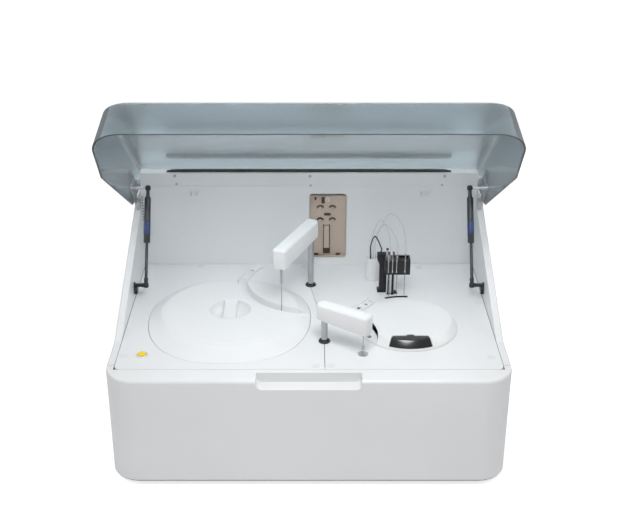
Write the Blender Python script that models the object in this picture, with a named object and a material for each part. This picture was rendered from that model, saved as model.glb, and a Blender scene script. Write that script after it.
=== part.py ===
"""Benchtop chemistry analyzer with its lid open, in metres, +Z up, standing on z = 0.

The outer sizes come first, then the sizes of each sub-part above the function that makes it.
Lengths along y are counted from the front face and lengths along z from the bench; the empty
"analyzer" then puts the middle of the plan box on the origin.
"""

import math

import bmesh
import bpy
from mathutils import Euler, Matrix, Vector

# Casing
BODY_WIDTH = 0.760
BODY_DEPTH = 0.600
FOOT_HEIGHT = 0.012
CASE_HEIGHT = 0.2253
WALL = 0.003
CORNER_RADIUS = 0.055
EDGE_ROUND = 0.004
FRONT_ROUND = 0.008
SEAT_GAP = 0.0003
SEAM = 0.0010
PAN_REVEAL = 0.0035

# Deck and chamber
DECK_THICKNESS = 0.004
LEDGE_THICKNESS = 0.003
LEDGE_REACH = 0.006
FRONT_RIM = 0.040
SIDE_RIM = 0.015
SIDE_FLAT = 0.143
SIDE_SLOPE = math.radians(22.3)
SHOULDER_HEIGHT = 0.150
CHAMBER_DEPTH = 0.4935
WALL_HEIGHT = 0.187
HEADER_HEIGHT = 0.216
HEADER_TOP_DEPTH = 0.026
HEADER_LIP = 0.006

# Lid and its pivot
LID_OPENING = math.radians(53.0)
LID_PIVOT_Y = 0.486
LID_PIVOT_HEIGHT = 0.152
LID_WALL = 0.0035

# Rotor stations and arms, seen from above
CAROUSEL_AXIS = (-0.160, 0.250)
REACTION_AXIS = (0.197, 0.230)
DOME_CENTRE = (0.196, 0.205)
SAMPLE_AXIS = (0.004, 0.389)
MIXER_AXIS = (0.030, 0.146)
SAMPLE_REACH = 0.146
MIXER_REACH = 0.0875
SAMPLE_REST = math.radians(246.0)
SAMPLE_BACK = math.radians(-94.0)
SAMPLE_RIGHT = math.radians(67.0)
MIXER_REST = math.radians(-33.3)
MIXER_WORK = math.radians(40.8)

# Shared by all the cutters, which run this far past the faces that they cut
OVERRUN = 0.004

DECK = FOOT_HEIGHT + CASE_HEIGHT
CASE_BOTTOM = FOOT_HEIGHT + PAN_REVEAL
HALF_WIDTH = BODY_WIDTH / 2
INNER_HALF = HALF_WIDTH - SIDE_RIM
DECK_HALF = INNER_HALF - SEAM
DECK_UNDER = DECK - DECK_THICKNESS
LEDGE_TOP = DECK_UNDER - SEAT_GAP
LEDGE_UNDER = LEDGE_TOP - LEDGE_THICKNESS
SHOULDER_Y = SIDE_FLAT + SHOULDER_HEIGHT / math.tan(SIDE_SLOPE)
DECK_FRONT = FRONT_RIM + SEAM
DECK_BACK = CHAMBER_DEPTH - SEAM
FRONT_END = CORNER_RADIUS + SEAM
FRONT_SEAM = FRONT_END + SEAM
BACK_OF_CASE = BODY_DEPTH - WALL

LEFT = -1
RIGHT = 1
SIDES = (("left", LEFT), ("right", RIGHT))

homes = {}


# Materials

def make_material(name, colour, roughness, metallic=0.0, alpha=1.0):
    material = bpy.data.materials.new(name)
    material.use_nodes = True
    shader = material.node_tree.nodes["Principled BSDF"]
    shader.inputs["Base Color"].default_value = (*colour, 1.0)
    shader.inputs["Roughness"].default_value = roughness
    shader.inputs["Metallic"].default_value = metallic
    shader.inputs["Alpha"].default_value = alpha
    return material


def make_materials():
    return {
        "white": make_material("white_plastic", (0.82, 0.83, 0.84), 0.35),
        "grey": make_material("grey_plastic", (0.55, 0.56, 0.58), 0.45),
        "black": make_material("black_plastic", (0.015, 0.015, 0.017), 0.40),
        "rubber": make_material("black_rubber", (0.020, 0.020, 0.020), 0.85),
        "smoke": make_material("smoked_acrylic", (0.25, 0.33, 0.40), 0.12, alpha=0.55),
        "amber": make_material("amber_acrylic", (0.42, 0.30, 0.20), 0.15, alpha=0.55),
        "steel": make_material("brushed_steel", (0.62, 0.63, 0.64), 0.28, metallic=1.0),
        "yellow": make_material("yellow_plastic", (0.86, 0.66, 0.02), 0.35),
        "clear": make_material("clear_tube", (0.80, 0.82, 0.82), 0.10, alpha=0.35),
        "zinc": make_material("plated_sheet", (0.48, 0.49, 0.50), 0.40, metallic=0.8),
    }


# Building tools

def clear_scene():
    for thing in list(bpy.data.objects):
        bpy.data.objects.remove(thing, do_unlink=True)


def empty_at(name, point, parent=None, turn=(0.0, 0.0, 0.0)):
    """An empty at a point of the unturned assembly; what is parented to it turns with it."""
    pivot = bpy.data.objects.new(name, None)
    bpy.context.scene.collection.objects.link(pivot)
    homes[pivot.name] = Vector(point)
    if parent is not None:
        pivot.parent = parent
        pivot.location = Vector(point) - homes[parent.name]
    pivot.rotation_euler = Euler(turn)
    return pivot


def object_from(name, mesh_tool, parent, material=None, at=None):
    """Turns a bmesh in assembly coordinates into an object whose origin is at a chosen point."""
    bmesh.ops.recalc_face_normals(mesh_tool, faces=mesh_tool.faces)
    mesh = bpy.data.meshes.new(name)
    mesh_tool.to_mesh(mesh)
    mesh_tool.free()
    thing = bpy.data.objects.new(name, mesh)
    bpy.context.scene.collection.objects.link(thing)
    point = Vector(at) if at is not None else homes[parent.name]
    mesh.transform(Matrix.Translation(-point))
    thing.parent = parent
    thing.location = point - homes[parent.name]
    if material is not None:
        mesh.materials.append(material)
    return thing


def smooth(thing, angle=math.radians(32)):
    thing.data.shade_smooth()
    thing.data.set_sharp_from_angle(angle=angle)
    return thing


def loft(sections, closed_ring=False):
    """A closed skin over equal loops of points, with the end loops filled."""
    skin = bmesh.new()
    rows = [[skin.verts.new(point) for point in section] for section in sections]
    pairs = list(zip(rows, rows[1:]))
    if closed_ring:
        pairs.append((rows[-1], rows[0]))
    for lower, upper in pairs:
        count = len(lower)
        for index in range(count):
            after = (index + 1) % count
            skin.faces.new((lower[index], lower[after], upper[after], upper[index]))
    if not closed_ring:
        skin.faces.new(list(reversed(rows[0])))
        skin.faces.new(rows[-1])
    return skin


def upright(outline, low, high):
    """A prism of an (x, y) outline between two heights."""
    return loft([[(x, y, height) for x, y in outline] for height in (low, high)])


def sideways(outline, left, right):
    """A prism of a (y, z) outline between two widths."""
    return loft([[(across, y, z) for y, z in outline] for across in (left, right)])


def fore_aft(outline, front, back):
    """A prism of an (x, z) outline between two depths."""
    return loft([[(x, along, z) for x, z in outline] for along in (front, back)])


def block(left, right, front, back, low, high):
    return upright(((left, front), (right, front), (right, back), (left, back)), low, high)


def ring_points(centre, radius, steps, start=0.0, sweep=math.tau):
    count = steps if math.isclose(sweep, math.tau) else steps + 1
    return [
        (
            centre[0] + radius * math.cos(start + sweep * step / steps),
            centre[1] + radius * math.sin(start + sweep * step / steps),
        )
        for step in range(count)
    ]


def turned(profile, centre, steps):
    """A solid of revolution about an upright axis; the (radius, height) profile stays off it."""
    sections = [
        [(x, y, height) for x, y in ring_points(centre, radius, steps)]
        for radius, height in profile
    ]
    return loft(sections)


def pipe_ring(profile, centre, steps):
    """A ring of revolution whose closed (radius, height) profile doesn't reach the axis."""
    sections = [
        [(x, y, height) for x, y in ring_points(centre, radius, steps)]
        for radius, height in profile
    ]
    return loft(sections, closed_ring=True)


def rod_between(start, end, start_radius, end_radius, steps):
    """A round bar or cone from one point to another."""
    along = Vector(end) - Vector(start)
    frame = along.to_track_quat("Z", "Y").to_matrix()
    sections = []
    for point, radius in ((start, start_radius), (end, end_radius)):
        loop = ring_points((0.0, 0.0), radius, steps)
        sections.append([Vector(point) + frame @ Vector((x, y, 0.0)) for x, y in loop])
    return loft(sections)


def rounded_box_outline(low, high, radius, steps=4, corners=(True, True, True, True)):
    """A rectangle with rounded corners, from the lower left corner anticlockwise."""
    places = (
        (low[0], low[1], 1, 1, math.pi),
        (high[0], low[1], -1, 1, 1.5 * math.pi),
        (high[0], high[1], -1, -1, 0.0),
        (low[0], high[1], 1, -1, 0.5 * math.pi),
    )
    outline = []
    for (x, y, to_x, to_y, start), is_round in zip(places, corners):
        if is_round:
            centre = (x + to_x * radius, y + to_y * radius)
            outline += ring_points(centre, radius, steps, start, 0.5 * math.pi)
        else:
            outline.append((x, y))
    return outline


def arc_band(centre, inner, outer, start, end, steps):
    """The outline of a flat band that runs along an arc."""
    sweep = end - start
    return ring_points(centre, outer, steps, start, sweep) + list(
        reversed(ring_points(centre, inner, steps, start, sweep))
    )


def eased_edge(foot, edge, inner, steps):
    """Loops from a wall's foot over a rounded edge to a loop that lies inside the edge."""
    shoulders = []
    for low, corner, inside in zip(foot, edge, inner):
        down = (low - corner).normalized()
        shoulders.append(corner + down * (inside - corner).length)
    sections = [foot]
    for step in range(steps + 1):
        share = step / steps
        sections.append(
            [
                shoulder * (1 - share) ** 2 + corner * 2 * share * (1 - share) + inside * share**2
                for shoulder, corner, inside in zip(shoulders, edge, inner)
            ]
        )
    return sections


def hide_helper(helper):
    helper.hide_render = True
    helper.display_type = "WIRE"


def combine(thing, shape, operation, name, at=None):
    """Joins a shape to a piece or takes it out of the piece, as a live Boolean modifier."""
    helper = object_from(f"{thing.name}_{name}", shape, thing.parent, at=at)
    hide_helper(helper)
    step = thing.modifiers.new(name, "BOOLEAN")
    step.operation = operation
    step.object = helper
    step.solver = "EXACT"
    return helper


def cut(thing, shape, name):
    return combine(thing, shape, "DIFFERENCE", name)


def add(thing, shape, name):
    return combine(thing, shape, "UNION", name)


def keep_common(thing, shape, name):
    return combine(thing, shape, "INTERSECT", name)


def soften(thing, width, segments=2, angle=math.radians(50)):
    """Rounds the sharp edges of a piece before anything is cut from it."""
    rounding = thing.modifiers.new("soft_edges", "BEVEL")
    rounding.width = width
    rounding.segments = segments
    rounding.limit_method = "ANGLE"
    rounding.angle_limit = angle
    return rounding


def polar(centre, radius, angle):
    return (centre[0] + radius * math.cos(angle), centre[1] + radius * math.sin(angle))


def mirrored(low, high, side):
    """A span across the machine, turned over for the left side."""
    return (low, high) if side == RIGHT else (-high, -low)


# Base pan and feet
PAN_INSET = 0.002
PAN_FLANGE_HEIGHT = 0.026
PAN_SHEET = 0.002
FOOT_TOP_RADIUS = 0.020
FOOT_BOTTOM_RADIUS = 0.017
FOOT_INSET = 0.060
FOOT_STEPS = 24


def plan_outline(inset, steps=6):
    low = (-HALF_WIDTH + inset, inset)
    high = (HALF_WIDTH - inset, BODY_DEPTH - inset)
    return rounded_box_outline(low, high, CORNER_RADIUS - inset, steps, (True, True, False, False))


def make_base(root, paint):
    behind_covers = WALL + SEAT_GAP
    pan = object_from(
        "base_pan", upright(plan_outline(PAN_INSET), FOOT_HEIGHT, FOOT_HEIGHT + WALL), root, paint["grey"]
    )
    flange_top = FOOT_HEIGHT + PAN_FLANGE_HEIGHT
    add(pan, upright(plan_outline(behind_covers), FOOT_HEIGHT + SEAT_GAP, flange_top), "flange")
    tray = upright(plan_outline(behind_covers + PAN_SHEET), FOOT_HEIGHT + WALL, flange_top + OVERRUN)
    cut(pan, tray, "tray")
    for row, y in (("front", FOOT_INSET), ("rear", BODY_DEPTH - FOOT_INSET)):
        for side_name, side in SIDES:
            centre = (side * (HALF_WIDTH - FOOT_INSET), y)
            profile = (
                (FOOT_BOTTOM_RADIUS, 0.0),
                (FOOT_TOP_RADIUS, FOOT_HEIGHT / 3),
                (FOOT_TOP_RADIUS, FOOT_HEIGHT - SEAT_GAP),
            )
            foot = turned(profile, centre, FOOT_STEPS)
            smooth(object_from(f"foot_{row}_{side_name}", foot, root, paint["rubber"], (*centre, 0.0)))


# Front cover with its finger recess
RECESS_WIDTH = 0.196
RECESS_DEPTH = 0.029
RECESS_HEIGHT = 0.0195
RECESS_CORNER = 0.012


def make_front_cover(root, paint):
    corners = (True, True, False, False)
    outside = rounded_box_outline((-HALF_WIDTH, 0.0), (HALF_WIDTH, FRONT_END), CORNER_RADIUS, 10, corners)
    inset = rounded_box_outline(
        (-HALF_WIDTH + FRONT_ROUND, FRONT_ROUND),
        (HALF_WIDTH - FRONT_ROUND, FRONT_END),
        CORNER_RADIUS - FRONT_ROUND,
        10,
        corners,
    )
    foot = [Vector((x, y, CASE_BOTTOM)) for x, y in outside]
    edge = [Vector((x, y, DECK)) for x, y in outside]
    inner = []
    for corner, (x, y) in zip(edge, inset):
        beyond = max(abs(corner.x) - HALF_WIDTH + CORNER_RADIUS, 0.0) / CORNER_RADIUS
        reach = 1 + (EDGE_ROUND / FRONT_ROUND - 1) * beyond
        inner.append(corner.lerp(Vector((x, y, DECK)), reach))
    cover = object_from("front_cover", loft(eased_edge(foot, edge, inner, 4)), root, paint["white"])
    inside = rounded_box_outline(
        (-HALF_WIDTH + WALL, WALL),
        (HALF_WIDTH - WALL, FRONT_SEAM + OVERRUN),
        CORNER_RADIUS - WALL,
        10,
        corners,
    )
    cut(cover, upright(inside, CASE_BOTTOM - OVERRUN, LEDGE_UNDER), "hollow")
    seat = block(-INNER_HALF, INNER_HALF, FRONT_RIM, FRONT_SEAM + OVERRUN, LEDGE_TOP, DECK + OVERRUN)
    cut(cover, seat, "deck_seat")
    through_half = INNER_HALF - LEDGE_REACH
    through = block(
        -through_half,
        through_half,
        FRONT_RIM + LEDGE_REACH,
        FRONT_SEAM + OVERRUN,
        LEDGE_UNDER - OVERRUN,
        DECK + OVERRUN,
    )
    cut(cover, through, "deck_hole")
    half = RECESS_WIDTH / 2
    pocket = rounded_box_outline(
        (-half - WALL, DECK - RECESS_HEIGHT - WALL),
        (half + WALL, LEDGE_UNDER + WALL / 2),
        RECESS_CORNER + WALL,
        4,
        corners,
    )
    add(cover, fore_aft(pocket, WALL / 2, RECESS_DEPTH + WALL), "recess_shell")
    recess = rounded_box_outline(
        (-half, DECK - RECESS_HEIGHT), (half, DECK + OVERRUN), RECESS_CORNER, 4, corners
    )
    cut(cover, fore_aft(recess, -OVERRUN, RECESS_DEPTH), "recess")
    return smooth(cover)


# Side covers and the lid's pivot blocks
BOSS_WIDTH = 0.0080
BOSS_LENGTH = 0.018
BOSS_RISE = 0.010
BOSS_SETBACK = 0.0005
PIVOT_PIN_RADIUS = 0.0030
PIVOT_PIN_CLEARANCE = 0.0003
PIN_STEPS = 16


def rim_height(y):
    """Height of the side cover's top edge above the deck."""
    return min(max(y - SIDE_FLAT, 0.0) * math.tan(SIDE_SLOPE), SHOULDER_HEIGHT)


def make_side_cover(root, paint, side_name, side):
    back = BACK_OF_CASE - SEAM
    profile = (
        (FRONT_SEAM, CASE_BOTTOM),
        (back, CASE_BOTTOM),
        (back, DECK + SHOULDER_HEIGHT),
        (SHOULDER_Y, DECK + SHOULDER_HEIGHT),
        (SIDE_FLAT, DECK),
        (FRONT_SEAM, DECK),
    )
    shell = sideways(profile, *mirrored(INNER_HALF, HALF_WIDTH, side))
    cover = object_from(f"{side_name}_side_cover", shell, root, paint["white"])
    rounding = soften(cover, EDGE_ROUND, 3)
    rounding.limit_method = "WEIGHT"
    weigh_top_edges(cover, side)
    hollow = block(
        *mirrored(INNER_HALF - OVERRUN, HALF_WIDTH - WALL, side),
        FRONT_SEAM - OVERRUN,
        back + OVERRUN,
        CASE_BOTTOM - OVERRUN,
        LEDGE_UNDER,
    )
    cut(cover, hollow, "hollow")
    ledge = block(
        *mirrored(INNER_HALF - LEDGE_REACH, INNER_HALF + WALL, side),
        FRONT_SEAM + WALL,
        CHAMBER_DEPTH - LEDGE_REACH - SEAM,
        LEDGE_UNDER,
        LEDGE_TOP,
    )
    add(cover, ledge, "deck_ledge")
    return smooth(cover)


def weigh_top_edges(cover, side):
    """Marks the outer top edges, so that the rounding leaves the others sharp."""
    mesh = cover.data
    weights = mesh.attributes.new("bevel_weight_edge", "FLOAT", "EDGE")
    outer = side * HALF_WIDTH
    for edge in mesh.edges:
        ends = [mesh.vertices[index].co + homes[cover.parent.name] for index in edge.vertices]
        is_outer = all(math.isclose(end.x, outer, abs_tol=WALL / 2) for end in ends)
        is_top = all(end.z > DECK - WALL for end in ends)
        if is_outer and is_top:
            weights.data[edge.index].value = 1.0


def make_lid_pivot(root, paint, side_name, side):
    """The block on the side cover's edge that carries the lid's hinge pin."""
    pivot_z = DECK + LID_PIVOT_HEIGHT
    front = LID_PIVOT_Y - BOSS_LENGTH / 2
    back = CHAMBER_DEPTH - BOSS_SETBACK
    top = pivot_z + BOSS_RISE
    outline = (
        (front, DECK + rim_height(front) + SEAT_GAP),
        (back, DECK + rim_height(back) + SEAT_GAP),
        (back, top - BOSS_RISE / 2),
        (LID_PIVOT_Y, top),
        (front, top - BOSS_RISE / 2),
    )
    inner = INNER_HALF + BOSS_SETBACK
    body = sideways(outline, *mirrored(inner, inner + BOSS_WIDTH, side))
    at = (side * inner, LID_PIVOT_Y, pivot_z)
    pivot = object_from(f"lid_pivot_{side_name}", body, root, paint["grey"], at)
    start = (side * (inner + BOSS_WIDTH / 2), LID_PIVOT_Y, pivot_z)
    end = (side * (HALF_WIDTH - LID_WALL - SEAT_GAP), LID_PIVOT_Y, pivot_z)
    add(pivot, rod_between(start, end, PIVOT_PIN_RADIUS, PIVOT_PIN_RADIUS, PIN_STEPS), "pin")
    return smooth(pivot)


# Rear cover, connector panel and power switch
VENT_COUNT = 9
VENT_WIDTH = 0.120
VENT_HEIGHT = 0.005
VENT_PITCH = 0.011
VENT_LOW = 0.150
VENT_CENTRES_X = (-0.200, 0.060)
PANEL_WIDTH = 0.130
PANEL_HEIGHT = 0.080
PANEL_CENTRE_X = -0.250
PANEL_LOW = 0.045
PANEL_LIP = 0.004
INLET_WIDTH = 0.028
INLET_HEIGHT = 0.020
INLET_DEPTH = 0.016
INLET_OFFSET_X = 0.030
SWITCH_WIDTH = 0.020
SWITCH_HEIGHT = 0.026
SWITCH_DEPTH = 0.010
SWITCH_PROUD = 0.003
SWITCH_OFFSET_X = -0.035
SWITCH_GAP = 0.0008
PANEL_DEPTH = 0.024
PORT_COUNT = 4
PORT_PITCH = 0.030
PORT_RADIUS = 0.0050
PORT_LENGTH = 0.014
PORT_PLATE_HEIGHT = 0.024
PORT_CENTRE_X = 0.235
PORT_HEIGHT = 0.065
PORT_BORE = 0.0030


def make_rear_cover(root, paint):
    outline = rounded_box_outline(
        (-HALF_WIDTH, CASE_BOTTOM), (HALF_WIDTH, DECK + SHOULDER_HEIGHT), EDGE_ROUND, 3
    )
    cover = object_from(
        "rear_cover", fore_aft(outline, BACK_OF_CASE, BODY_DEPTH), root, paint["white"]
    )
    for centre in VENT_CENTRES_X:
        for index in range(VENT_COUNT):
            low = VENT_LOW + index * VENT_PITCH
            slot = block(
                centre - VENT_WIDTH / 2,
                centre + VENT_WIDTH / 2,
                BACK_OF_CASE - OVERRUN,
                BODY_DEPTH + OVERRUN,
                low,
                low + VENT_HEIGHT,
            )
            cut(cover, slot, f"vent_{index}")
    window = panel_outline(SEAT_GAP)
    cut(cover, fore_aft(window, BACK_OF_CASE - OVERRUN, BODY_DEPTH + OVERRUN), "panel_window")
    ports = port_plate_outline(SEAT_GAP)
    cut(cover, fore_aft(ports, BACK_OF_CASE - OVERRUN, BODY_DEPTH + OVERRUN), "port_window")
    return smooth(cover)


def panel_outline(grown):
    low = (PANEL_CENTRE_X - PANEL_WIDTH / 2 - grown, PANEL_LOW - grown)
    high = (PANEL_CENTRE_X + PANEL_WIDTH / 2 + grown, PANEL_LOW + PANEL_HEIGHT + grown)
    return rounded_box_outline(low, high, EDGE_ROUND, 3)


def port_plate_outline(grown):
    half = PORT_COUNT * PORT_PITCH / 2 + grown
    rise = PORT_PLATE_HEIGHT / 2 + grown
    low = (PORT_CENTRE_X - half, PORT_HEIGHT - rise)
    high = (PORT_CENTRE_X + half, PORT_HEIGHT + rise)
    return rounded_box_outline(low, high, EDGE_ROUND, 3)


def make_connector_panel(root, paint):
    """The recessed panel with the mains inlet and the hole for the rocker."""
    front = BODY_DEPTH - PANEL_DEPTH
    panel = object_from(
        "connector_panel", fore_aft(panel_outline(0.0), front, BODY_DEPTH), root, paint["black"]
    )
    middle = PANEL_LOW + PANEL_HEIGHT / 2
    face = BODY_DEPTH - PANEL_LIP
    sunk = rounded_box_outline(
        (PANEL_CENTRE_X - PANEL_WIDTH / 2 + PANEL_LIP, PANEL_LOW + PANEL_LIP),
        (PANEL_CENTRE_X + PANEL_WIDTH / 2 - PANEL_LIP, PANEL_LOW + PANEL_HEIGHT - PANEL_LIP),
        EDGE_ROUND,
        3,
    )
    cut(panel, fore_aft(sunk, face, BODY_DEPTH + OVERRUN), "sunk_face")
    inlet_x = PANEL_CENTRE_X + INLET_OFFSET_X
    inlet = block(
        inlet_x - INLET_WIDTH / 2,
        inlet_x + INLET_WIDTH / 2,
        face - INLET_DEPTH,
        BODY_DEPTH,
        middle - INLET_HEIGHT / 2,
        middle + INLET_HEIGHT / 2,
    )
    cut(panel, inlet, "mains_inlet")
    switch_x = PANEL_CENTRE_X + SWITCH_OFFSET_X
    hole = block(
        switch_x - SWITCH_WIDTH / 2 - SWITCH_GAP,
        switch_x + SWITCH_WIDTH / 2 + SWITCH_GAP,
        face - SWITCH_DEPTH - SWITCH_PROUD,
        BODY_DEPTH,
        middle - SWITCH_HEIGHT / 2 - SWITCH_GAP,
        middle + SWITCH_HEIGHT / 2 + SWITCH_GAP,
    )
    cut(panel, hole, "switch_hole")
    return smooth(panel)


def make_power_switch(root, paint):
    """A rocker that tips about a pin across it, with its face folded in at the middle."""
    middle = PANEL_LOW + PANEL_HEIGHT / 2
    face = BODY_DEPTH - PANEL_LIP
    half = SWITCH_HEIGHT / 2
    at = (PANEL_CENTRE_X + SWITCH_OFFSET_X, face - SWITCH_DEPTH / 2, middle)
    outline = (
        (face - SWITCH_DEPTH / 2, middle - half + SWITCH_GAP),
        (face + SWITCH_PROUD, middle - half + SWITCH_GAP),
        (face, middle),
        (face + SWITCH_PROUD, middle + half - SWITCH_GAP),
        (face - SWITCH_DEPTH / 2, middle + half - SWITCH_GAP),
        (face - SWITCH_DEPTH, middle),
    )
    body = sideways(outline, at[0] - SWITCH_WIDTH / 2, at[0] + SWITCH_WIDTH / 2)
    return object_from("power_switch", body, root, paint["black"], at)


def make_fluid_ports(root, paint):
    """The plate of hose stubs for water, cleaner and waste."""
    plate = object_from(
        "fluid_ports",
        fore_aft(port_plate_outline(0.0), BACK_OF_CASE, BODY_DEPTH),
        root,
        paint["grey"],
    )
    first = PORT_CENTRE_X - (PORT_COUNT - 1) * PORT_PITCH / 2
    for index in range(PORT_COUNT):
        x = first + index * PORT_PITCH
        start = (x, BACK_OF_CASE + WALL / 2, PORT_HEIGHT)
        tip = (x, BODY_DEPTH + PORT_LENGTH, PORT_HEIGHT)
        add(plate, rod_between(start, tip, PORT_RADIUS, PORT_RADIUS - WALL / 4, PIN_STEPS), f"stub_{index}")
        mouth = (x, BODY_DEPTH + PORT_LENGTH + OVERRUN, PORT_HEIGHT)
        foot = (x, BODY_DEPTH, PORT_HEIGHT)
        cut(plate, rod_between(foot, mouth, PORT_BORE, PORT_BORE, PIN_STEPS), f"bore_{index}")
    return smooth(plate)


# Back wall, header and its rubber strip
ISE_LEFT = 0.000
ISE_WIDTH = 0.083
ISE_LOW = 0.016
ISE_HEIGHT = 0.153
ISE_CORNER = 0.007
WALL_FOOT = 0.010
WALL_DROP = 0.020
STRIP_HALF = 0.308
STRIP_HEIGHT = 0.005
STRIP_DEPTH = 0.012
STRIP_SETBACK = 0.006
STRIP_TAPER = 0.020


def ise_outline(grown):
    low = (ISE_LEFT - grown, DECK + ISE_LOW - grown)
    high = (ISE_LEFT + ISE_WIDTH + grown, DECK + ISE_LOW + ISE_HEIGHT + grown)
    return rounded_box_outline(low, high, ISE_CORNER + grown, 4)


def make_back_wall(root, paint):
    half = INNER_HALF - SEAT_GAP
    back = CHAMBER_DEPTH + WALL
    top = DECK + WALL_HEIGHT - SEAT_GAP
    plate = block(-half, half, CHAMBER_DEPTH, back, DECK - WALL_DROP, top)
    wall = object_from("back_wall", plate, root, paint["white"])
    foot_half = half - LEDGE_REACH - SEAM
    foot = block(
        -foot_half, foot_half, CHAMBER_DEPTH - WALL_FOOT, CHAMBER_DEPTH + WALL / 2, LEDGE_UNDER, LEDGE_TOP
    )
    add(wall, foot, "deck_foot")
    window = fore_aft(ise_outline(0.0), CHAMBER_DEPTH - OVERRUN, back + OVERRUN)
    cut(wall, window, "ise_window")
    return smooth(wall)


def make_header(root, paint):
    """The box along the top of the back wall, folded down behind to the casing's rear edge."""
    half = INNER_HALF - SEAM
    rear = BACK_OF_CASE - SEAM
    top_back = CHAMBER_DEPTH + HEADER_TOP_DEPTH
    outline = (
        (CHAMBER_DEPTH, DECK + WALL_HEIGHT),
        (CHAMBER_DEPTH + WALL + SEAT_GAP, DECK + WALL_HEIGHT),
        (CHAMBER_DEPTH + WALL + SEAT_GAP, DECK + SHOULDER_HEIGHT - WALL),
        (rear, DECK + SHOULDER_HEIGHT - WALL),
        (rear, DECK + SHOULDER_HEIGHT),
        (top_back, DECK + HEADER_HEIGHT),
        (CHAMBER_DEPTH, DECK + HEADER_HEIGHT),
    )
    header = object_from("header_panel", sideways(outline, -half, half), root, paint["white"])
    hollow = (
        (CHAMBER_DEPTH + 2 * WALL, DECK + SHOULDER_HEIGHT - WALL - OVERRUN),
        (rear - 2 * WALL, DECK + SHOULDER_HEIGHT - WALL - OVERRUN),
        (rear - 2 * WALL, DECK + SHOULDER_HEIGHT - WALL / 2),
        (top_back, DECK + HEADER_HEIGHT - WALL),
        (CHAMBER_DEPTH + 2 * WALL, DECK + HEADER_HEIGHT - WALL),
    )
    cut(header, sideways(hollow, -half + WALL, half - WALL), "hollow")
    lip_cut = block(
        -half + WALL,
        half - WALL,
        CHAMBER_DEPTH + WALL / 2,
        CHAMBER_DEPTH + 3 * WALL,
        DECK + SHOULDER_HEIGHT - WALL - OVERRUN,
        DECK + WALL_HEIGHT - HEADER_LIP,
    )
    cut(header, lip_cut, "short_lip")
    return smooth(header)


def make_rear_seal(root, paint):
    base = DECK + HEADER_HEIGHT + SEAT_GAP
    outline = (
        (-STRIP_HALF, base),
        (STRIP_HALF, base),
        (STRIP_HALF - STRIP_TAPER, base + STRIP_HEIGHT),
        (-STRIP_HALF + STRIP_TAPER, base + STRIP_HEIGHT),
    )
    front = CHAMBER_DEPTH + STRIP_SETBACK
    strip = fore_aft(outline, front, front + STRIP_DEPTH)
    return object_from("rear_seal", strip, root, paint["rubber"])


# Electrode module behind its window
MODULE_DEPTH = 0.040
MODULE_SETBACK = 0.012
KNOB_RADIUS = 0.0055
KNOB_LENGTH = 0.004
KNOB_STEPS = 14
KNOB_COLUMNS = (0.024, 0.051)
KNOB_ROWS = (0.083, 0.112)
STACK_X = 0.0385
STACK_HALF = 0.0065
STACK_LOW = 0.020
STACK_HIGH = 0.075
STACK_PROUD = 0.006
STACK_STEPS = 5
ISE_PLATE = 0.0025
ISE_CLEARANCE = 0.0005
KEY_HEIGHT = 0.013
KEY_RADIUS = 0.0050
KEY_LENGTH = 0.0045
KEY_X = 0.0400


def make_ise_module(root, paint):
    low = DECK + ISE_LOW
    face = CHAMBER_DEPTH + MODULE_SETBACK
    body = block(
        ISE_LEFT - SEAT_GAP,
        ISE_LEFT + ISE_WIDTH + SEAT_GAP,
        CHAMBER_DEPTH + WALL + SEAT_GAP,
        CHAMBER_DEPTH + MODULE_DEPTH,
        low - WALL,
        low + ISE_HEIGHT - 2 * WALL,
    )
    module = object_from("ise_module", body, root, paint["white"])
    bay = block(
        ISE_LEFT + WALL,
        ISE_LEFT + ISE_WIDTH - WALL,
        CHAMBER_DEPTH - OVERRUN,
        face,
        low + WALL,
        low + ISE_HEIGHT - 3 * WALL,
    )
    cut(module, bay, "bay")
    for row, height in enumerate(KNOB_ROWS):
        for column, across in enumerate(KNOB_COLUMNS):
            start = (ISE_LEFT + across, face + WALL, low + height)
            tip = (ISE_LEFT + across, face - KNOB_LENGTH, low + height)
            knob = rod_between(start, tip, KNOB_RADIUS, KNOB_RADIUS, KNOB_STEPS)
            add(module, knob, f"knob_{row}_{column}")
    pitch = (STACK_HIGH - STACK_LOW) / STACK_STEPS
    for step in range(STACK_STEPS):
        foot = low + STACK_LOW + step * pitch
        electrode = block(
            ISE_LEFT + STACK_X - STACK_HALF,
            ISE_LEFT + STACK_X + STACK_HALF,
            face - STACK_PROUD,
            face + WALL,
            foot,
            foot + pitch - WALL / 2,
        )
        add(module, electrode, f"electrode_{step}")
    return smooth(module)


def make_ise_cover(root, paint):
    """The clear cover that pulls forward out of the wall, with its drop-shaped key."""
    front = CHAMBER_DEPTH
    plate = fore_aft(ise_outline(-ISE_CLEARANCE), front, front + ISE_PLATE)
    at = (ISE_LEFT + ISE_WIDTH / 2, front, DECK + ISE_LOW)
    cover = object_from("ise_cover", plate, root, paint["amber"], at)
    key_x = ISE_LEFT + KEY_X
    key_z = DECK + ISE_LOW + ISE_HEIGHT - KEY_HEIGHT
    key = ring_points((key_x, key_z), KEY_RADIUS, 12, math.radians(150), math.radians(240))
    key.append((key_x, key_z + 2 * KEY_RADIUS))
    add(cover, fore_aft(key, front - KEY_LENGTH, front + ISE_PLATE / 2), "key")
    return smooth(cover)


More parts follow.
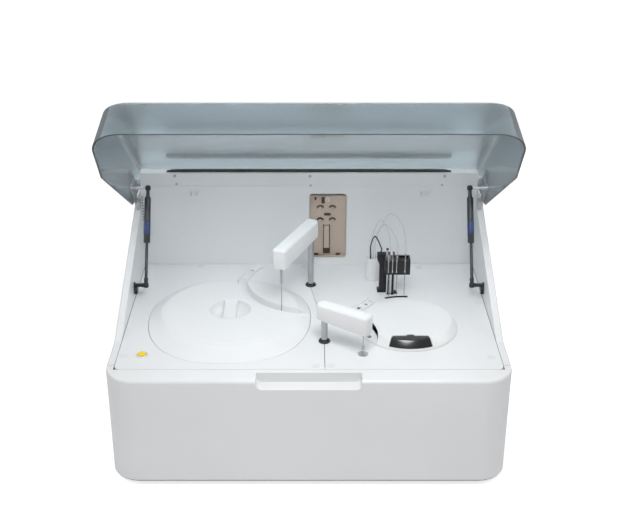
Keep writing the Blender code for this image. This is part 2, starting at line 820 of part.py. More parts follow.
# Deck plates
SPLIT_BACK_X = 0.004
SPLIT_FRONT_X = 0.030
SPLIT_BEND_BACK = 0.375
SPLIT_BEND_FRONT = 0.212
DECK_CORNER = 0.012
COLUMN_RADIUS = 0.0063
COLUMN_CLEARANCE = 0.0012
COVER_HALF = 0.163
COVER_CENTRE_Y = 0.2518
COVER_FRONT_REACH = 0.191
COVER_SQUARENESS = 2.35
COVER_STEPS = 60
DOME_RADIUS = 0.100
DOME_SPIGOT = 0.092
DOME_STEPS = 56
PROBE_HOLE = 0.0042
PADDLE_HOLE = 0.0060
WELL_HOLE = 0.0107
SLOT_WIDTH = 0.0050
SLOT_STEPS = 6
CUVETTE_RADIUS = 0.1045
CUVETTE_COUNT = 40
CUVETTE_PHASE = math.radians(7.45)
NEEDLE_FIRST = 9
NEEDLE_COUNT = 3
SLOT_MARGIN = 0.0060
BUTTON_CENTRE = (-0.318, 0.093)
BUTTON_RADIUS = 0.0084
BUTTON_HOLE = 0.0100
TRACK_HALF = 0.0110
TRACK_RISE = 0.0030
TRACK_LIP = 0.0018
TRACK_OVERRUN = math.radians(30)
TRACK_BACK_START = math.radians(142)
TRACK_BACK_END = math.radians(172)
TRACK_RIGHT_START = math.radians(300)
TRACK_RIGHT_END = math.radians(333)


def split_line(side):
    """The seam between the deck halves, half a seam to one side of its middle, from the back."""
    shift = side * SEAM / 2
    return [
        (SPLIT_BACK_X + shift, DECK_BACK),
        (SPLIT_BACK_X + shift, SPLIT_BEND_BACK),
        (SPLIT_FRONT_X + shift, SPLIT_BEND_FRONT),
        (SPLIT_FRONT_X + shift, DECK_FRONT),
    ]


def cover_outline(grown, steps=COVER_STEPS):
    """The seam round the carousel cover: a half circle behind, a squarer half in front."""
    outline = []
    for step in range(steps):
        angle = math.tau * step / steps
        x, y = math.cos(angle), math.sin(angle)
        if y < 0:
            power = 2 / COVER_SQUARENESS
            x = math.copysign(abs(x) ** power, x)
            y = -(abs(y) ** power)
            reach = COVER_FRONT_REACH + grown
        else:
            reach = COVER_HALF + grown
        outline.append((CAROUSEL_AXIS[0] + (COVER_HALF + grown) * x, COVER_CENTRE_Y + reach * y))
    return outline


def raised_track(plate, start, end, name):
    """Two low lips with a floor between them, along the needle's path."""
    outer = upright(
        arc_band(SAMPLE_AXIS, SAMPLE_REACH - TRACK_HALF, SAMPLE_REACH + TRACK_HALF, start, end, 12),
        DECK - DECK_THICKNESS / 2,
        DECK + TRACK_RISE,
    )
    add(plate, outer, f"{name}_lips")
    inner = upright(
        arc_band(
            SAMPLE_AXIS,
            SAMPLE_REACH - TRACK_HALF + TRACK_LIP,
            SAMPLE_REACH + TRACK_HALF - TRACK_LIP,
            start - TRACK_OVERRUN,
            end + TRACK_OVERRUN,
            24,
        ),
        DECK + TRACK_RISE / 3,
        DECK + TRACK_RISE + OVERRUN,
    )
    cut(plate, inner, f"{name}_floor")


def round_hole(plate, centre, radius, name, steps=16):
    hole = upright(ring_points(centre, radius, steps), LEDGE_UNDER - OVERRUN, DECK + TRACK_RISE + OVERRUN)
    cut(plate, hole, name)


def make_deck_left(root, paint):
    corner = ring_points(
        (-DECK_HALF + DECK_CORNER, DECK_FRONT + DECK_CORNER), DECK_CORNER, 5, math.pi, math.pi / 2
    )
    outline = [(-DECK_HALF, DECK_BACK), *corner, *reversed(split_line(LEFT))]
    deck = object_from("deck_left", upright(outline, DECK_UNDER, DECK), root, paint["white"])
    raised_track(deck, TRACK_BACK_START, TRACK_BACK_END, "back_track")
    opening = upright(cover_outline(SEAM), DECK_UNDER - OVERRUN, DECK + TRACK_RISE + OVERRUN)
    cut(deck, opening, "carousel_opening")
    back_hole = polar(SAMPLE_AXIS, SAMPLE_REACH, SAMPLE_REST + SAMPLE_BACK)
    round_hole(deck, back_hole, PROBE_HOLE, "rinse_hole")
    round_hole(deck, BUTTON_CENTRE, BUTTON_HOLE, "button_hole", 24)
    round_hole(deck, SAMPLE_AXIS, COLUMN_RADIUS + COLUMN_CLEARANCE, "sample_column_hole", 24)
    round_hole(deck, MIXER_AXIS, COLUMN_RADIUS + COLUMN_CLEARANCE, "mixer_column_hole", 24)
    return smooth(deck)


def needle_angles():
    pitch = math.tau / CUVETTE_COUNT
    return [CUVETTE_PHASE + pitch * (NEEDLE_FIRST + index) for index in range(NEEDLE_COUNT)]


def needle_slot(grown):
    angles = needle_angles()
    margin = (SLOT_MARGIN + grown) / CUVETTE_RADIUS
    return arc_band(
        REACTION_AXIS,
        CUVETTE_RADIUS - SLOT_WIDTH / 2 - grown,
        CUVETTE_RADIUS + SLOT_WIDTH / 2 + grown,
        angles[0] - margin,
        angles[-1] + margin,
        SLOT_STEPS,
    )


def make_deck_right(root, paint):
    corner = ring_points(
        (DECK_HALF - DECK_CORNER, DECK_FRONT + DECK_CORNER), DECK_CORNER, 5, -math.pi / 2, math.pi / 2
    )
    outline = [*split_line(RIGHT), *corner, (DECK_HALF, DECK_BACK)]
    deck = object_from("deck_right", upright(outline, DECK_UNDER, DECK), root, paint["white"])
    raised_track(deck, TRACK_RIGHT_START, TRACK_RIGHT_END, "right_track")
    round_hole(deck, DOME_CENTRE, DOME_SPIGOT + SEAM, "dome_opening", DOME_STEPS)
    cut(deck, upright(needle_slot(0.0), LEDGE_UNDER, DECK + TRACK_RISE + OVERRUN), "needle_slot")
    for index, turn in enumerate((SAMPLE_RIGHT, (SAMPLE_RIGHT + math.radians(84)) / 2)):
        round_hole(deck, polar(SAMPLE_AXIS, SAMPLE_REACH, SAMPLE_REST + turn), PROBE_HOLE, f"probe_hole_{index}")
    round_hole(deck, polar(MIXER_AXIS, MIXER_REACH, MIXER_REST), WELL_HOLE, "wash_hole", 24)
    round_hole(deck, SAMPLE_AXIS, COLUMN_RADIUS + COLUMN_CLEARANCE, "sample_column_hole", 24)
    round_hole(deck, MIXER_AXIS, COLUMN_RADIUS + COLUMN_CLEARANCE, "mixer_column_hole", 24)
    return smooth(deck)


# Sample carousel: well, rotor and lift-off cover
WELL_DEPTH = 0.110
WELL_RADIUS = 0.150
WELL_STEPS = 36
FLANGE_REACH = 0.007
SPINDLE_RADIUS = 0.009
SPINDLE_HEIGHT = 0.045
ROTOR_RADIUS = 0.140
ROTOR_PLATE = 0.006
ROTOR_TOP = 0.070
ROTOR_RIM = 0.004
HUB_RADIUS = 0.022
HUB_HEIGHT = 0.030
HUB_WALL = 0.006
TUBE_RING = 0.1052
TUBE_COUNT = 24
TUBE_RADIUS = 0.0072
BOTTLE_RING = 0.066
BOTTLE_COUNT = 12
BOTTLE_RADIUS = 0.0135
SEAT_DEPTH = 0.0035
SEAT_STEPS = 12
HUB_STEPS = 24
COVER_TOP_RADIUS = 0.140
COVER_EDGE_HEIGHT = 0.0000
COVER_STEP_HEIGHT = 0.0130
COVER_CROWN_HEIGHT = 0.0165
COVER_RIM_SHARE = 0.35
DISH_RADIUS = 0.0415
DISH_FLOOR_RADIUS = 0.030
DISH_DEPTH = 0.018
HANDLE_HALF = 0.014
GROOVE_HALF = 0.0105
GROOVE_FLOOR = 0.0010
GROOVE_START = math.radians(160)
GROOVE_END = math.radians(268)
COVER_SHELL = 0.003
POCKET_RADIUS = 0.128


def make_carousel_well(root, paint):
    flange = upright(cover_outline(FLANGE_REACH, 48), LEDGE_UNDER, LEDGE_TOP)
    centre_z = DECK - WELL_DEPTH
    at = (*CAROUSEL_AXIS, centre_z)
    well = object_from("carousel_well", flange, root, paint["grey"], at)
    outer = ((WELL_RADIUS, centre_z), (WELL_RADIUS, LEDGE_TOP - LEDGE_THICKNESS / 2))
    add(well, turned(outer, CAROUSEL_AXIS, WELL_STEPS), "tub")
    inner = ((WELL_RADIUS - WALL, centre_z + WALL), (WELL_RADIUS - WALL, DECK + OVERRUN))
    cut(well, turned(inner, CAROUSEL_AXIS, WELL_STEPS), "hollow")
    spindle_top = centre_z + SPINDLE_HEIGHT
    spindle = ((SPINDLE_RADIUS, centre_z + WALL / 2), (SPINDLE_RADIUS, spindle_top))
    add(well, turned(spindle, CAROUSEL_AXIS, PIN_STEPS), "spindle")
    return smooth(well)


def make_carousel_disk(root, paint):
    """The rotor: a tray with two rings of round seats, on a hub that sits over the spindle."""
    spindle_top = DECK - WELL_DEPTH + SPINDLE_HEIGHT
    plate_top = DECK - ROTOR_TOP
    plate_low = plate_top - ROTOR_PLATE
    at = (*CAROUSEL_AXIS, plate_low)
    plate = ((ROTOR_RADIUS, plate_low), (ROTOR_RADIUS, plate_top + ROTOR_RIM))
    disk = object_from("carousel_disk", turned(plate, CAROUSEL_AXIS, WELL_STEPS), root, paint["grey"], at)
    tray_radius = ROTOR_RADIUS - ROTOR_RIM
    tray = ((tray_radius, plate_top), (tray_radius, plate_top + ROTOR_RIM + OVERRUN))
    cut(disk, turned(tray, CAROUSEL_AXIS, WELL_STEPS), "tray")
    hub = ((HUB_RADIUS, plate_low + WALL / 3), (HUB_RADIUS, plate_top + HUB_HEIGHT))
    add(disk, turned(hub, CAROUSEL_AXIS, HUB_STEPS), "hub")
    bearing = SPINDLE_RADIUS + SEAT_GAP
    socket = ((bearing, plate_low - OVERRUN), (bearing, spindle_top + SEAT_GAP))
    cut(disk, turned(socket, CAROUSEL_AXIS, PIN_STEPS), "bearing")
    rings = (("tube", TUBE_RING, TUBE_COUNT, TUBE_RADIUS), ("bottle", BOTTLE_RING, BOTTLE_COUNT, BOTTLE_RADIUS))
    for name, ring, count, radius in rings:
        for index in range(count):
            centre = polar(CAROUSEL_AXIS, ring, needle_bearing() + math.tau * index / count)
            seat = ((radius, plate_top - SEAT_DEPTH), (radius, plate_top + OVERRUN))
            cut(disk, turned(seat, centre, SEAT_STEPS), f"{name}_seat_{index}")
    return smooth(disk)


def needle_bearing():
    """Where the needle stands at rest, as an angle about the carousel's axis."""
    x, y = polar(SAMPLE_AXIS, SAMPLE_REACH, SAMPLE_REST)
    return math.atan2(y - CAROUSEL_AXIS[1], x - CAROUSEL_AXIS[0])


def groove_shape(half, low, high, margin=0.0):
    start = GROOVE_START - margin / SAMPLE_REACH
    end = GROOVE_END + margin / SAMPLE_REACH
    return upright(
        arc_band(SAMPLE_AXIS, SAMPLE_REACH - half, SAMPLE_REACH + half, start, end, 20), low, high
    )


def make_carousel_cover(root, paint):
    """The moulded cover: a skirt up to a crowned disc, a dish with a finger bar, and the
    curved trough that lets the needle travel below the top of the disc."""
    edge = cover_outline(0.0)
    outline_steps = len(edge)
    low = LEDGE_TOP + SEAT_GAP
    disc = ring_points(CAROUSEL_AXIS, COVER_TOP_RADIUS, outline_steps)
    crown = ring_points(CAROUSEL_AXIS, DISH_RADIUS + WALL, outline_steps)
    sections = [
        [(x, y, low) for x, y in edge],
        [(x, y, DECK + COVER_EDGE_HEIGHT) for x, y in edge],
        [
            (
                edge_x + (disc_x - edge_x) * COVER_RIM_SHARE,
                edge_y + (disc_y - edge_y) * COVER_RIM_SHARE,
                DECK + COVER_EDGE_HEIGHT + COVER_STEP_HEIGHT * COVER_RIM_SHARE / 2,
            )
            for (edge_x, edge_y), (disc_x, disc_y) in zip(edge, disc)
        ],
        [(x, y, DECK + COVER_STEP_HEIGHT) for x, y in disc],
        [(x, y, DECK + COVER_CROWN_HEIGHT) for x, y in crown],
    ]
    at = (*CAROUSEL_AXIS, DECK)
    cover = object_from("carousel_cover", loft(sections), root, paint["white"], at)
    crown_top = DECK + COVER_CROWN_HEIGHT
    dish_floor = crown_top - DISH_DEPTH
    dish = (
        (DISH_FLOOR_RADIUS, dish_floor),
        (DISH_RADIUS, dish_floor + DISH_DEPTH / 2),
        (DISH_RADIUS, crown_top + OVERRUN),
    )
    cut(cover, turned(dish, CAROUSEL_AXIS, 40), "dish")
    bar_reach = DISH_RADIUS + WALL / 2
    bar = block(
        CAROUSEL_AXIS[0] - HANDLE_HALF,
        CAROUSEL_AXIS[0] + HANDLE_HALF,
        CAROUSEL_AXIS[1] - bar_reach,
        CAROUSEL_AXIS[1] + bar_reach,
        low + WALL / 3,
        crown_top - WALL / 6,
    )
    add(cover, bar, "finger_bar")
    groove = groove_shape(GROOVE_HALF, DECK + GROOVE_FLOOR, DECK + COVER_CROWN_HEIGHT + OVERRUN)
    cut(cover, groove, "groove")
    under = ((POCKET_RADIUS, low - OVERRUN), (POCKET_RADIUS, DECK + COVER_STEP_HEIGHT - COVER_SHELL))
    pocket = cut(cover, turned(under, CAROUSEL_AXIS, 40), "under_pocket")
    hub_radius = DISH_RADIUS + COVER_SHELL
    keep_hub = ((hub_radius, low - 2 * OVERRUN), (hub_radius, crown_top + OVERRUN))
    cut(pocket, turned(keep_hub, CAROUSEL_AXIS, 32), "keep_dish")
    trough = groove_shape(GROOVE_HALF + COVER_SHELL, low - 2 * OVERRUN, crown_top + OVERRUN, COVER_SHELL)
    cut(pocket, trough, "keep_trough")
    hole = polar(SAMPLE_AXIS, SAMPLE_REACH, SAMPLE_REST)
    cut(cover, upright(ring_points(hole, PROBE_HOLE, 12), low - OVERRUN, crown_top), "needle_hole")
    return smooth(cover)


# Reaction station: well, cuvette ring, dome and window
REACTION_DEPTH = 0.060
REACTION_RADIUS = 0.114
REACTION_FLANGE = 0.006
RING_OUTER = 0.110
RING_INNER = 0.097
RING_TOP = 0.008
RING_HEIGHT = 0.034
POCKET_LENGTH = 0.0095
POCKET_DEPTH = 0.030
RING_HUB_RADIUS = 0.018
SPOKE_COUNT = 4
SPOKE_HALF = 0.008
SPOKE_HEIGHT = 0.008
DOME_TOP_RADIUS = 0.084
DOME_HEIGHT = 0.021
DOME_RIM_HEIGHT = 0.003
DOME_SHELL = 0.0028
SPIGOT_DEPTH = 0.003
WINDOW_TOP_HALF = 0.034
WINDOW_BOTTOM_HALF = 0.048
WINDOW_BACK = 0.1335
WINDOW_GAP = 0.0004
RELIEF_INNER = 0.060
RELIEF_OUTER = 0.1040
RELIEF_START = math.radians(-16)
RELIEF_END = math.radians(36)
RELIEF_FLOOR = 0.0045


def make_reaction_well(root, paint):
    base = DECK - REACTION_DEPTH
    at = (*REACTION_AXIS, base)
    flange_radius = REACTION_RADIUS + REACTION_FLANGE
    profile = (
        (REACTION_RADIUS, base),
        (REACTION_RADIUS, LEDGE_UNDER),
        (flange_radius, LEDGE_UNDER),
        (flange_radius, LEDGE_TOP),
    )
    well = object_from("reaction_well", turned(profile, REACTION_AXIS, WELL_STEPS), root, paint["grey"], at)
    inside = REACTION_RADIUS - WALL
    inner = ((inside, base + WALL), (inside, DECK + OVERRUN))
    cut(well, turned(inner, REACTION_AXIS, WELL_STEPS), "hollow")
    top = base + REACTION_DEPTH - RING_TOP - RING_HEIGHT
    spindle = ((SPINDLE_RADIUS, base + WALL / 2), (SPINDLE_RADIUS, top))
    add(well, turned(spindle, REACTION_AXIS, PIN_STEPS), "spindle")
    return smooth(well)


def make_reaction_ring(root, paint):
    """The cuvette ring: pockets round a rim, carried on spokes from the hub."""
    top = DECK - RING_TOP
    base = top - RING_HEIGHT
    at = (*REACTION_AXIS, base)
    rim = (
        (RING_INNER, base),
        (RING_OUTER, base),
        (RING_OUTER, top),
        (RING_INNER, top),
    )
    ring = object_from("reaction_ring", pipe_ring(rim, REACTION_AXIS, 40), root, paint["clear"], at)
    hub_foot = base + SEAT_GAP
    hub = ((RING_HUB_RADIUS, hub_foot), (RING_HUB_RADIUS, base + 2 * SPOKE_HEIGHT))
    middle = (RING_INNER + RING_OUTER) / 2
    for index in range(SPOKE_COUNT // 2):
        turn = Matrix.Rotation(math.tau * index / SPOKE_COUNT, 4, "Z")
        reach = middle if index else middle - WALL / 3
        spoke = block(-reach, reach, -SPOKE_HALF, SPOKE_HALF, base + WALL / 3 * (1 + index), base + SPOKE_HEIGHT)
        spoke.transform(turn)
        spoke.transform(Matrix.Translation((*REACTION_AXIS, 0.0)))
        add(ring, spoke, f"spoke_{index}")
    add(ring, turned(hub, REACTION_AXIS, PIN_STEPS), "hub")
    for index in range(CUVETTE_COUNT):
        angle = CUVETTE_PHASE + math.tau * index / CUVETTE_COUNT
        half = POCKET_LENGTH / CUVETTE_RADIUS / 2
        outline = arc_band(
            REACTION_AXIS, RING_INNER + WALL / 2, RING_OUTER - WALL / 2, angle - half, angle + half, 1
        )
        cut(ring, upright(outline, top - POCKET_DEPTH, top + OVERRUN), f"cuvette_{index}")
    return ring


def dome_shell():
    """The dome as a turned profile: flange on the deck, sloping side, flat crowned top."""
    base = DECK + SEAT_GAP
    top = DECK + DOME_HEIGHT
    profile = (
        (DOME_SPIGOT - WALL, base - SPIGOT_DEPTH),
        (DOME_SPIGOT, base - SPIGOT_DEPTH),
        (DOME_SPIGOT, base),
        (DOME_RADIUS, base),
        (DOME_RADIUS, base + DOME_RIM_HEIGHT),
        (DOME_TOP_RADIUS + DOME_SHELL, top - DOME_SHELL),
        (DOME_TOP_RADIUS, top),
    )
    return turned(profile, DOME_CENTRE, DOME_STEPS)


def window_outline(shrunk):
    front = DOME_CENTRE[1] - DOME_RADIUS - OVERRUN
    slope = (WINDOW_BOTTOM_HALF - WINDOW_TOP_HALF) / (WINDOW_BACK - DOME_CENTRE[1] + DOME_RADIUS)
    front_half = WINDOW_BOTTOM_HALF + slope * OVERRUN - shrunk
    x = DOME_CENTRE[0]
    return (
        (x - front_half, front),
        (x + front_half, front),
        (x + WINDOW_TOP_HALF - shrunk, WINDOW_BACK - shrunk),
        (x - WINDOW_TOP_HALF + shrunk, WINDOW_BACK - shrunk),
    )


def hollow_dome(thing, name):
    base = DECK + SEAT_GAP
    inside = (
        (DOME_SPIGOT - WALL, base - SPIGOT_DEPTH - OVERRUN),
        (DOME_SPIGOT - WALL, base + DOME_RIM_HEIGHT),
        (DOME_TOP_RADIUS - DOME_SHELL, DECK + DOME_HEIGHT - DOME_SHELL),
    )
    cut(thing, turned(inside, DOME_CENTRE, DOME_STEPS), name)


def make_reaction_cover(root, paint):
    at = (*DOME_CENTRE, DECK)
    dome = object_from("reaction_cover", dome_shell(), root, paint["white"], at)
    hollow_dome(dome, "hollow")
    window = upright(window_outline(0.0), DECK + DOME_RIM_HEIGHT, DECK + DOME_HEIGHT + OVERRUN)
    cut(dome, window, "window_hole")
    relief = arc_band(MIXER_AXIS, RELIEF_INNER, RELIEF_OUTER, RELIEF_START, RELIEF_END, 16)
    shelf = upright(relief, DECK + DOME_RIM_HEIGHT / 2, DECK + RELIEF_FLOOR)
    shelf_piece = add(dome, shelf, "relief_floor")
    half_wall = DOME_SHELL / 2
    within = (
        (DOME_RADIUS - half_wall, DECK - OVERRUN),
        (DOME_RADIUS - half_wall, DECK + DOME_RIM_HEIGHT),
        (DOME_TOP_RADIUS, DECK + DOME_HEIGHT - DOME_SHELL - half_wall),
    )
    keep_common(shelf_piece, turned(within, DOME_CENTRE, DOME_STEPS), "inside_dome")
    cut(dome, upright(relief, DECK + RELIEF_FLOOR, DECK + DOME_HEIGHT + OVERRUN), "relief")
    hole = polar(MIXER_AXIS, MIXER_REACH, MIXER_REST + MIXER_WORK)
    through = upright(ring_points(hole, PADDLE_HOLE, 16), DECK - OVERRUN, DECK + DOME_HEIGHT)
    cut(dome, through, "mixing_hole")
    return smooth(dome)


def make_cuvette_window(root, paint):
    at = (*DOME_CENTRE, DECK)
    window = object_from("cuvette_window", dome_shell(), root, paint["black"], at)
    hollow_dome(window, "hollow")
    low = DECK + DOME_RIM_HEIGHT + WINDOW_GAP
    keep_common(window, upright(window_outline(WINDOW_GAP), low, DECK + DOME_HEIGHT + OVERRUN), "outline")
    return smooth(window)


# Arms: collar, lift carriage, column, arm and tool
COLLAR_RADIUS = 0.0115
COLLAR_HEIGHT = 0.0040
COLLAR_STEPS = 24
ARM_TAIL = 0.0140
ARM_NOSE = 0.0135
ARM_HALF = 0.0140
ARM_ROUND = 0.0075
ARM_TOP_ROUND = 0.0060
SAMPLE_ARM_LOW = 0.108
SAMPLE_ARM_HIGH = 0.150
MIXER_ARM_LOW = 0.046
MIXER_ARM_HIGH = 0.085
ARM_NOSE_DROP = 0.006
COLUMN_DROP = 0.085
COLUMN_STEPS = 20
CARRIAGE_HALF = 0.018
CARRIAGE_HEIGHT = 0.030
GUIDE_HALF = 0.006
SLEEVE_RADIUS = 0.0023
SLEEVE_LENGTH = 0.038
NEEDLE_RADIUS = 0.0009
NEEDLE_TIP = 0.0055
SHAFT_RADIUS = 0.0015
PADDLE_TIP = 0.0080
PADDLE_HALF = 0.0028
PADDLE_HEIGHT = 0.010
PADDLE_THICKNESS = 0.0014


def make_collar(root, paint, name, centre):
    base = DECK + SEAT_GAP
    inner = COLUMN_RADIUS + SEAT_GAP
    profile = (
        (inner, base),
        (COLLAR_RADIUS, base),
        (COLLAR_RADIUS - WALL / 2, base + COLLAR_HEIGHT),
        (inner, base + COLLAR_HEIGHT),
    )
    collar = pipe_ring(profile, centre, COLLAR_STEPS)
    return smooth(object_from(f"{name}_collar", collar, root, paint["black"], (*centre, DECK)))


def make_guide(root, paint, name, centre, bearing):
    """The upright rail behind the column, from the base pan to just under the deck."""
    low = FOOT_HEIGHT + WALL + SEAT_GAP
    rail_centre = polar(centre, CARRIAGE_HALF + GUIDE_HALF + SEAT_GAP, bearing)
    rail = block(
        rail_centre[0] - GUIDE_HALF,
        rail_centre[0] + GUIDE_HALF,
        rail_centre[1] - GUIDE_HALF,
        rail_centre[1] + GUIDE_HALF,
        low,
        LEDGE_UNDER - SEAM,
    )
    guide = object_from(f"{name}_guide", rail, root, paint["steel"], (*rail_centre, low))
    foot = block(
        rail_centre[0] - 2 * GUIDE_HALF,
        rail_centre[0] + 2 * GUIDE_HALF,
        rail_centre[1] - 2 * GUIDE_HALF,
        rail_centre[1] + 2 * GUIDE_HALF,
        low,
        low + WALL,
    )
    add(guide, foot, "foot")
    return guide


def make_carriage(root, paint, name, centre):
    """The block that slides on the rail and holds the column's foot in a bearing."""
    high = DECK - COLUMN_DROP + CARRIAGE_HEIGHT
    body = block(
        centre[0] - CARRIAGE_HALF,
        centre[0] + CARRIAGE_HALF,
        centre[1] - CARRIAGE_HALF,
        centre[1] + CARRIAGE_HALF,
        high - CARRIAGE_HEIGHT - WALL,
        high,
    )
    carriage = object_from(f"{name}_carriage", body, root, paint["grey"], (*centre, high))
    bore = COLUMN_RADIUS + SEAT_GAP
    socket = ((bore, DECK - COLUMN_DROP - SEAT_GAP), (bore, high + OVERRUN))
    cut(carriage, turned(socket, centre, COLUMN_STEPS), "bearing")
    return carriage


def arm_sections(axis, reach, low, high):
    """Loops along an arm that points to +X: level on top, its underside lower at the nose."""
    stations = (
        (-ARM_TAIL, 0.55, 0.0),
        (-ARM_TAIL + ARM_ROUND, 1.0, 0.0),
        (reach * 0.5, 1.0, 0.35),
        (reach + ARM_NOSE - ARM_ROUND, 1.0, 1.0),
        (reach + ARM_NOSE, 0.62, 1.0),
    )
    sections = []
    for along, width_share, drop_share in stations:
        half = ARM_HALF * width_share
        bottom = low + ARM_NOSE_DROP * (1 - drop_share)
        top = high - (0.0 if width_share == 1.0 else ARM_TOP_ROUND / 2)
        outline = rounded_box_outline((-half, bottom), (half, top), ARM_TOP_ROUND, 4, (False, False, True, True))
        sections.append([(axis[0] + along, axis[1] + across, z) for across, z in outline])
    return sections


def make_arm(parent, paint, name, axis, reach, low, high):
    at = (*axis, low)
    shape = loft(arm_sections(axis, reach, low, high))
    arm = object_from(f"{name}_arm", shape, parent, paint["white"], at)
    socket_top = low + ARM_NOSE_DROP + (high - low) / 3
    bore = COLUMN_RADIUS + SEAT_GAP
    cut(arm, turned(((bore, low - OVERRUN), (bore, socket_top)), axis, COLUMN_STEPS), "column_socket")
    return smooth(arm)


def make_column(parent, paint, name, axis, low, high):
    top = low + ARM_NOSE_DROP + (high - low) / 3 - SEAT_GAP
    profile = ((COLUMN_RADIUS, DECK - COLUMN_DROP), (COLUMN_RADIUS, top))
    at = (*axis, DECK - COLUMN_DROP)
    column = object_from(f"{name}_column", turned(profile, axis, COLUMN_STEPS), parent, paint["steel"], at)
    return smooth(column)


def make_sample_probe(parent, paint):
    """The needle in its sleeve, hung under the arm's nose."""
    centre = (SAMPLE_AXIS[0] + SAMPLE_REACH, SAMPLE_AXIS[1])
    high = DECK + SAMPLE_ARM_LOW - SEAT_GAP
    shoulder = high - SLEEVE_LENGTH
    profile = (
        (NEEDLE_RADIUS / 2, DECK + NEEDLE_TIP),
        (NEEDLE_RADIUS, DECK + NEEDLE_TIP + 2 * NEEDLE_RADIUS),
        (NEEDLE_RADIUS, shoulder - SLEEVE_RADIUS),
        (SLEEVE_RADIUS, shoulder),
        (SLEEVE_RADIUS, high),
    )
    return smooth(
        object_from("sample_probe", turned(profile, centre, 12), parent, paint["steel"], (*centre, high))
    )


def make_mixer_paddle(parent, paint):
    """The flat paddle on its thin shaft, which spins under the mixer arm."""
    centre = (MIXER_AXIS[0] + MIXER_REACH, MIXER_AXIS[1])
    high = DECK + MIXER_ARM_LOW - SEAT_GAP
    tip = DECK + PADDLE_TIP
    profile = ((SHAFT_RADIUS, tip + PADDLE_HEIGHT / 2), (SHAFT_RADIUS, high))
    paddle = object_from(
        "mixer_paddle", turned(profile, centre, 12), parent, paint["steel"], (*centre, high)
    )
    blade = block(
        centre[0] - PADDLE_HALF,
        centre[0] + PADDLE_HALF,
        centre[1] - PADDLE_THICKNESS / 2,
        centre[1] + PADDLE_THICKNESS / 2,
        tip,
        tip + PADDLE_HEIGHT,
    )
    add(paddle, blade, "blade")
    return smooth(paddle)


def make_arms(root, paint):
    sample = empty_at("sample_turret", (*SAMPLE_AXIS, DECK), root, (0.0, 0.0, SAMPLE_REST))
    mixer = empty_at("mixer_turret", (*MIXER_AXIS, DECK), root, (0.0, 0.0, MIXER_REST))
    arms = (
        ("sample", sample, SAMPLE_AXIS, SAMPLE_REACH, SAMPLE_ARM_LOW, SAMPLE_ARM_HIGH, math.pi / 2),
        ("mixer", mixer, MIXER_AXIS, MIXER_REACH, MIXER_ARM_LOW, MIXER_ARM_HIGH, -math.pi / 2),
    )
    for name, turret, axis, reach, low, high, guide_bearing in arms:
        make_collar(root, paint, name, axis)
        make_guide(root, paint, name, axis, guide_bearing)
        make_carriage(root, paint, name, axis)
        make_column(turret, paint, name, axis, DECK + low, DECK + high)
        make_arm(turret, paint, name, axis, reach, DECK + low, DECK + high)
    make_sample_probe(sample, paint)
    make_mixer_paddle(mixer, paint)


# Rinse well for the mixer paddle
CUP_RADIUS = 0.0098
CUP_DEPTH = 0.046
CUP_WALL = 0.0015
CUP_FLANGE = 0.016


def make_mixer_wash_well(root, paint):
    centre = polar(MIXER_AXIS, MIXER_REACH, MIXER_REST)
    outer = CUP_RADIUS + CUP_WALL
    base = DECK - CUP_DEPTH
    profile = (
        (outer, base),
        (outer, LEDGE_UNDER),
        (CUP_FLANGE, LEDGE_UNDER),
        (CUP_FLANGE, LEDGE_TOP),
    )
    well = object_from(
        "mixer_wash_well", turned(profile, centre, COLLAR_STEPS), root, paint["white"], (*centre, base)
    )
    inner = ((CUP_RADIUS / 2, base + CUP_WALL), (CUP_RADIUS, base + CUP_RADIUS), (CUP_RADIUS, DECK))
    cut(well, turned(inner, centre, COLLAR_STEPS), "bowl")
    return smooth(well)


# Cuvette wash station
MAST_CENTRE = (0.156, 0.362)
MAST_HALF = 0.0075
MAST_HEIGHT = 0.089
MAST_FOOT_HALF = 0.012
MAST_FOOT_HEIGHT = 0.004
MAST_FACE_GAP = 0.0003
HEAD_LEFT = 0.1580
HEAD_RIGHT = 0.2100
HEAD_LOW = 0.055
HEAD_HIGH = 0.088
HEAD_ROUND = 0.002
HEAD_DEPTH = 0.028
ROD_RADIUS = 0.0022
ROD_CLEARANCE = 0.0004
ROD_OFFSETS = (0.0041, 0.0125)
ROD_SETBACK = 0.0080
ROD_TOP = 0.099
WASH_NEEDLE_RADIUS = 0.0008
WASH_NEEDLE_TIP = 0.0040
FITTING_RADIUS = 0.0020
FITTING_HEIGHT = 0.011
TOWER_CENTRE = (0.139, 0.420)
TOWER_RADIUS = 0.014
TOWER_HEIGHT = 0.052
TOWER_WALL = 0.002
TOWER_FLOOR = 0.006


def head_back():
    return MAST_CENTRE[1] - MAST_HALF - MAST_FACE_GAP


def guide_rods(radius, low, high):
    """The two round rods beside the mast, or the bores for them."""
    y = head_back() - ROD_SETBACK
    for offset in ROD_OFFSETS:
        x = MAST_CENTRE[0] + MAST_HALF + offset
        yield rod_between((x, y, low), (x, y, high), radius, radius, 10)


def make_wash_mast(root, paint):
    """The fixed mast and, on the same foot, the two guide rods that the head slides on."""
    x, y = MAST_CENTRE
    base = DECK + SEAT_GAP
    foot = block(
        x - MAST_FOOT_HALF,
        x + MAST_HALF + ROD_OFFSETS[-1] + 2 * ROD_RADIUS,
        head_back() - ROD_SETBACK - 2 * ROD_RADIUS,
        y + MAST_FOOT_HALF,
        base,
        base + MAST_FOOT_HEIGHT,
    )
    mast = object_from("wash_mast", foot, root, paint["black"], (x, y, DECK))
    inside_foot = base + MAST_FOOT_HEIGHT / 2
    post = block(x - MAST_HALF, x + MAST_HALF, y - MAST_HALF, y + MAST_HALF, inside_foot, DECK + MAST_HEIGHT)
    add(mast, post, "post")
    for index, rod in enumerate(guide_rods(ROD_RADIUS, inside_foot, DECK + ROD_TOP)):
        add(mast, rod, f"guide_rod_{index}")
    return smooth(mast)


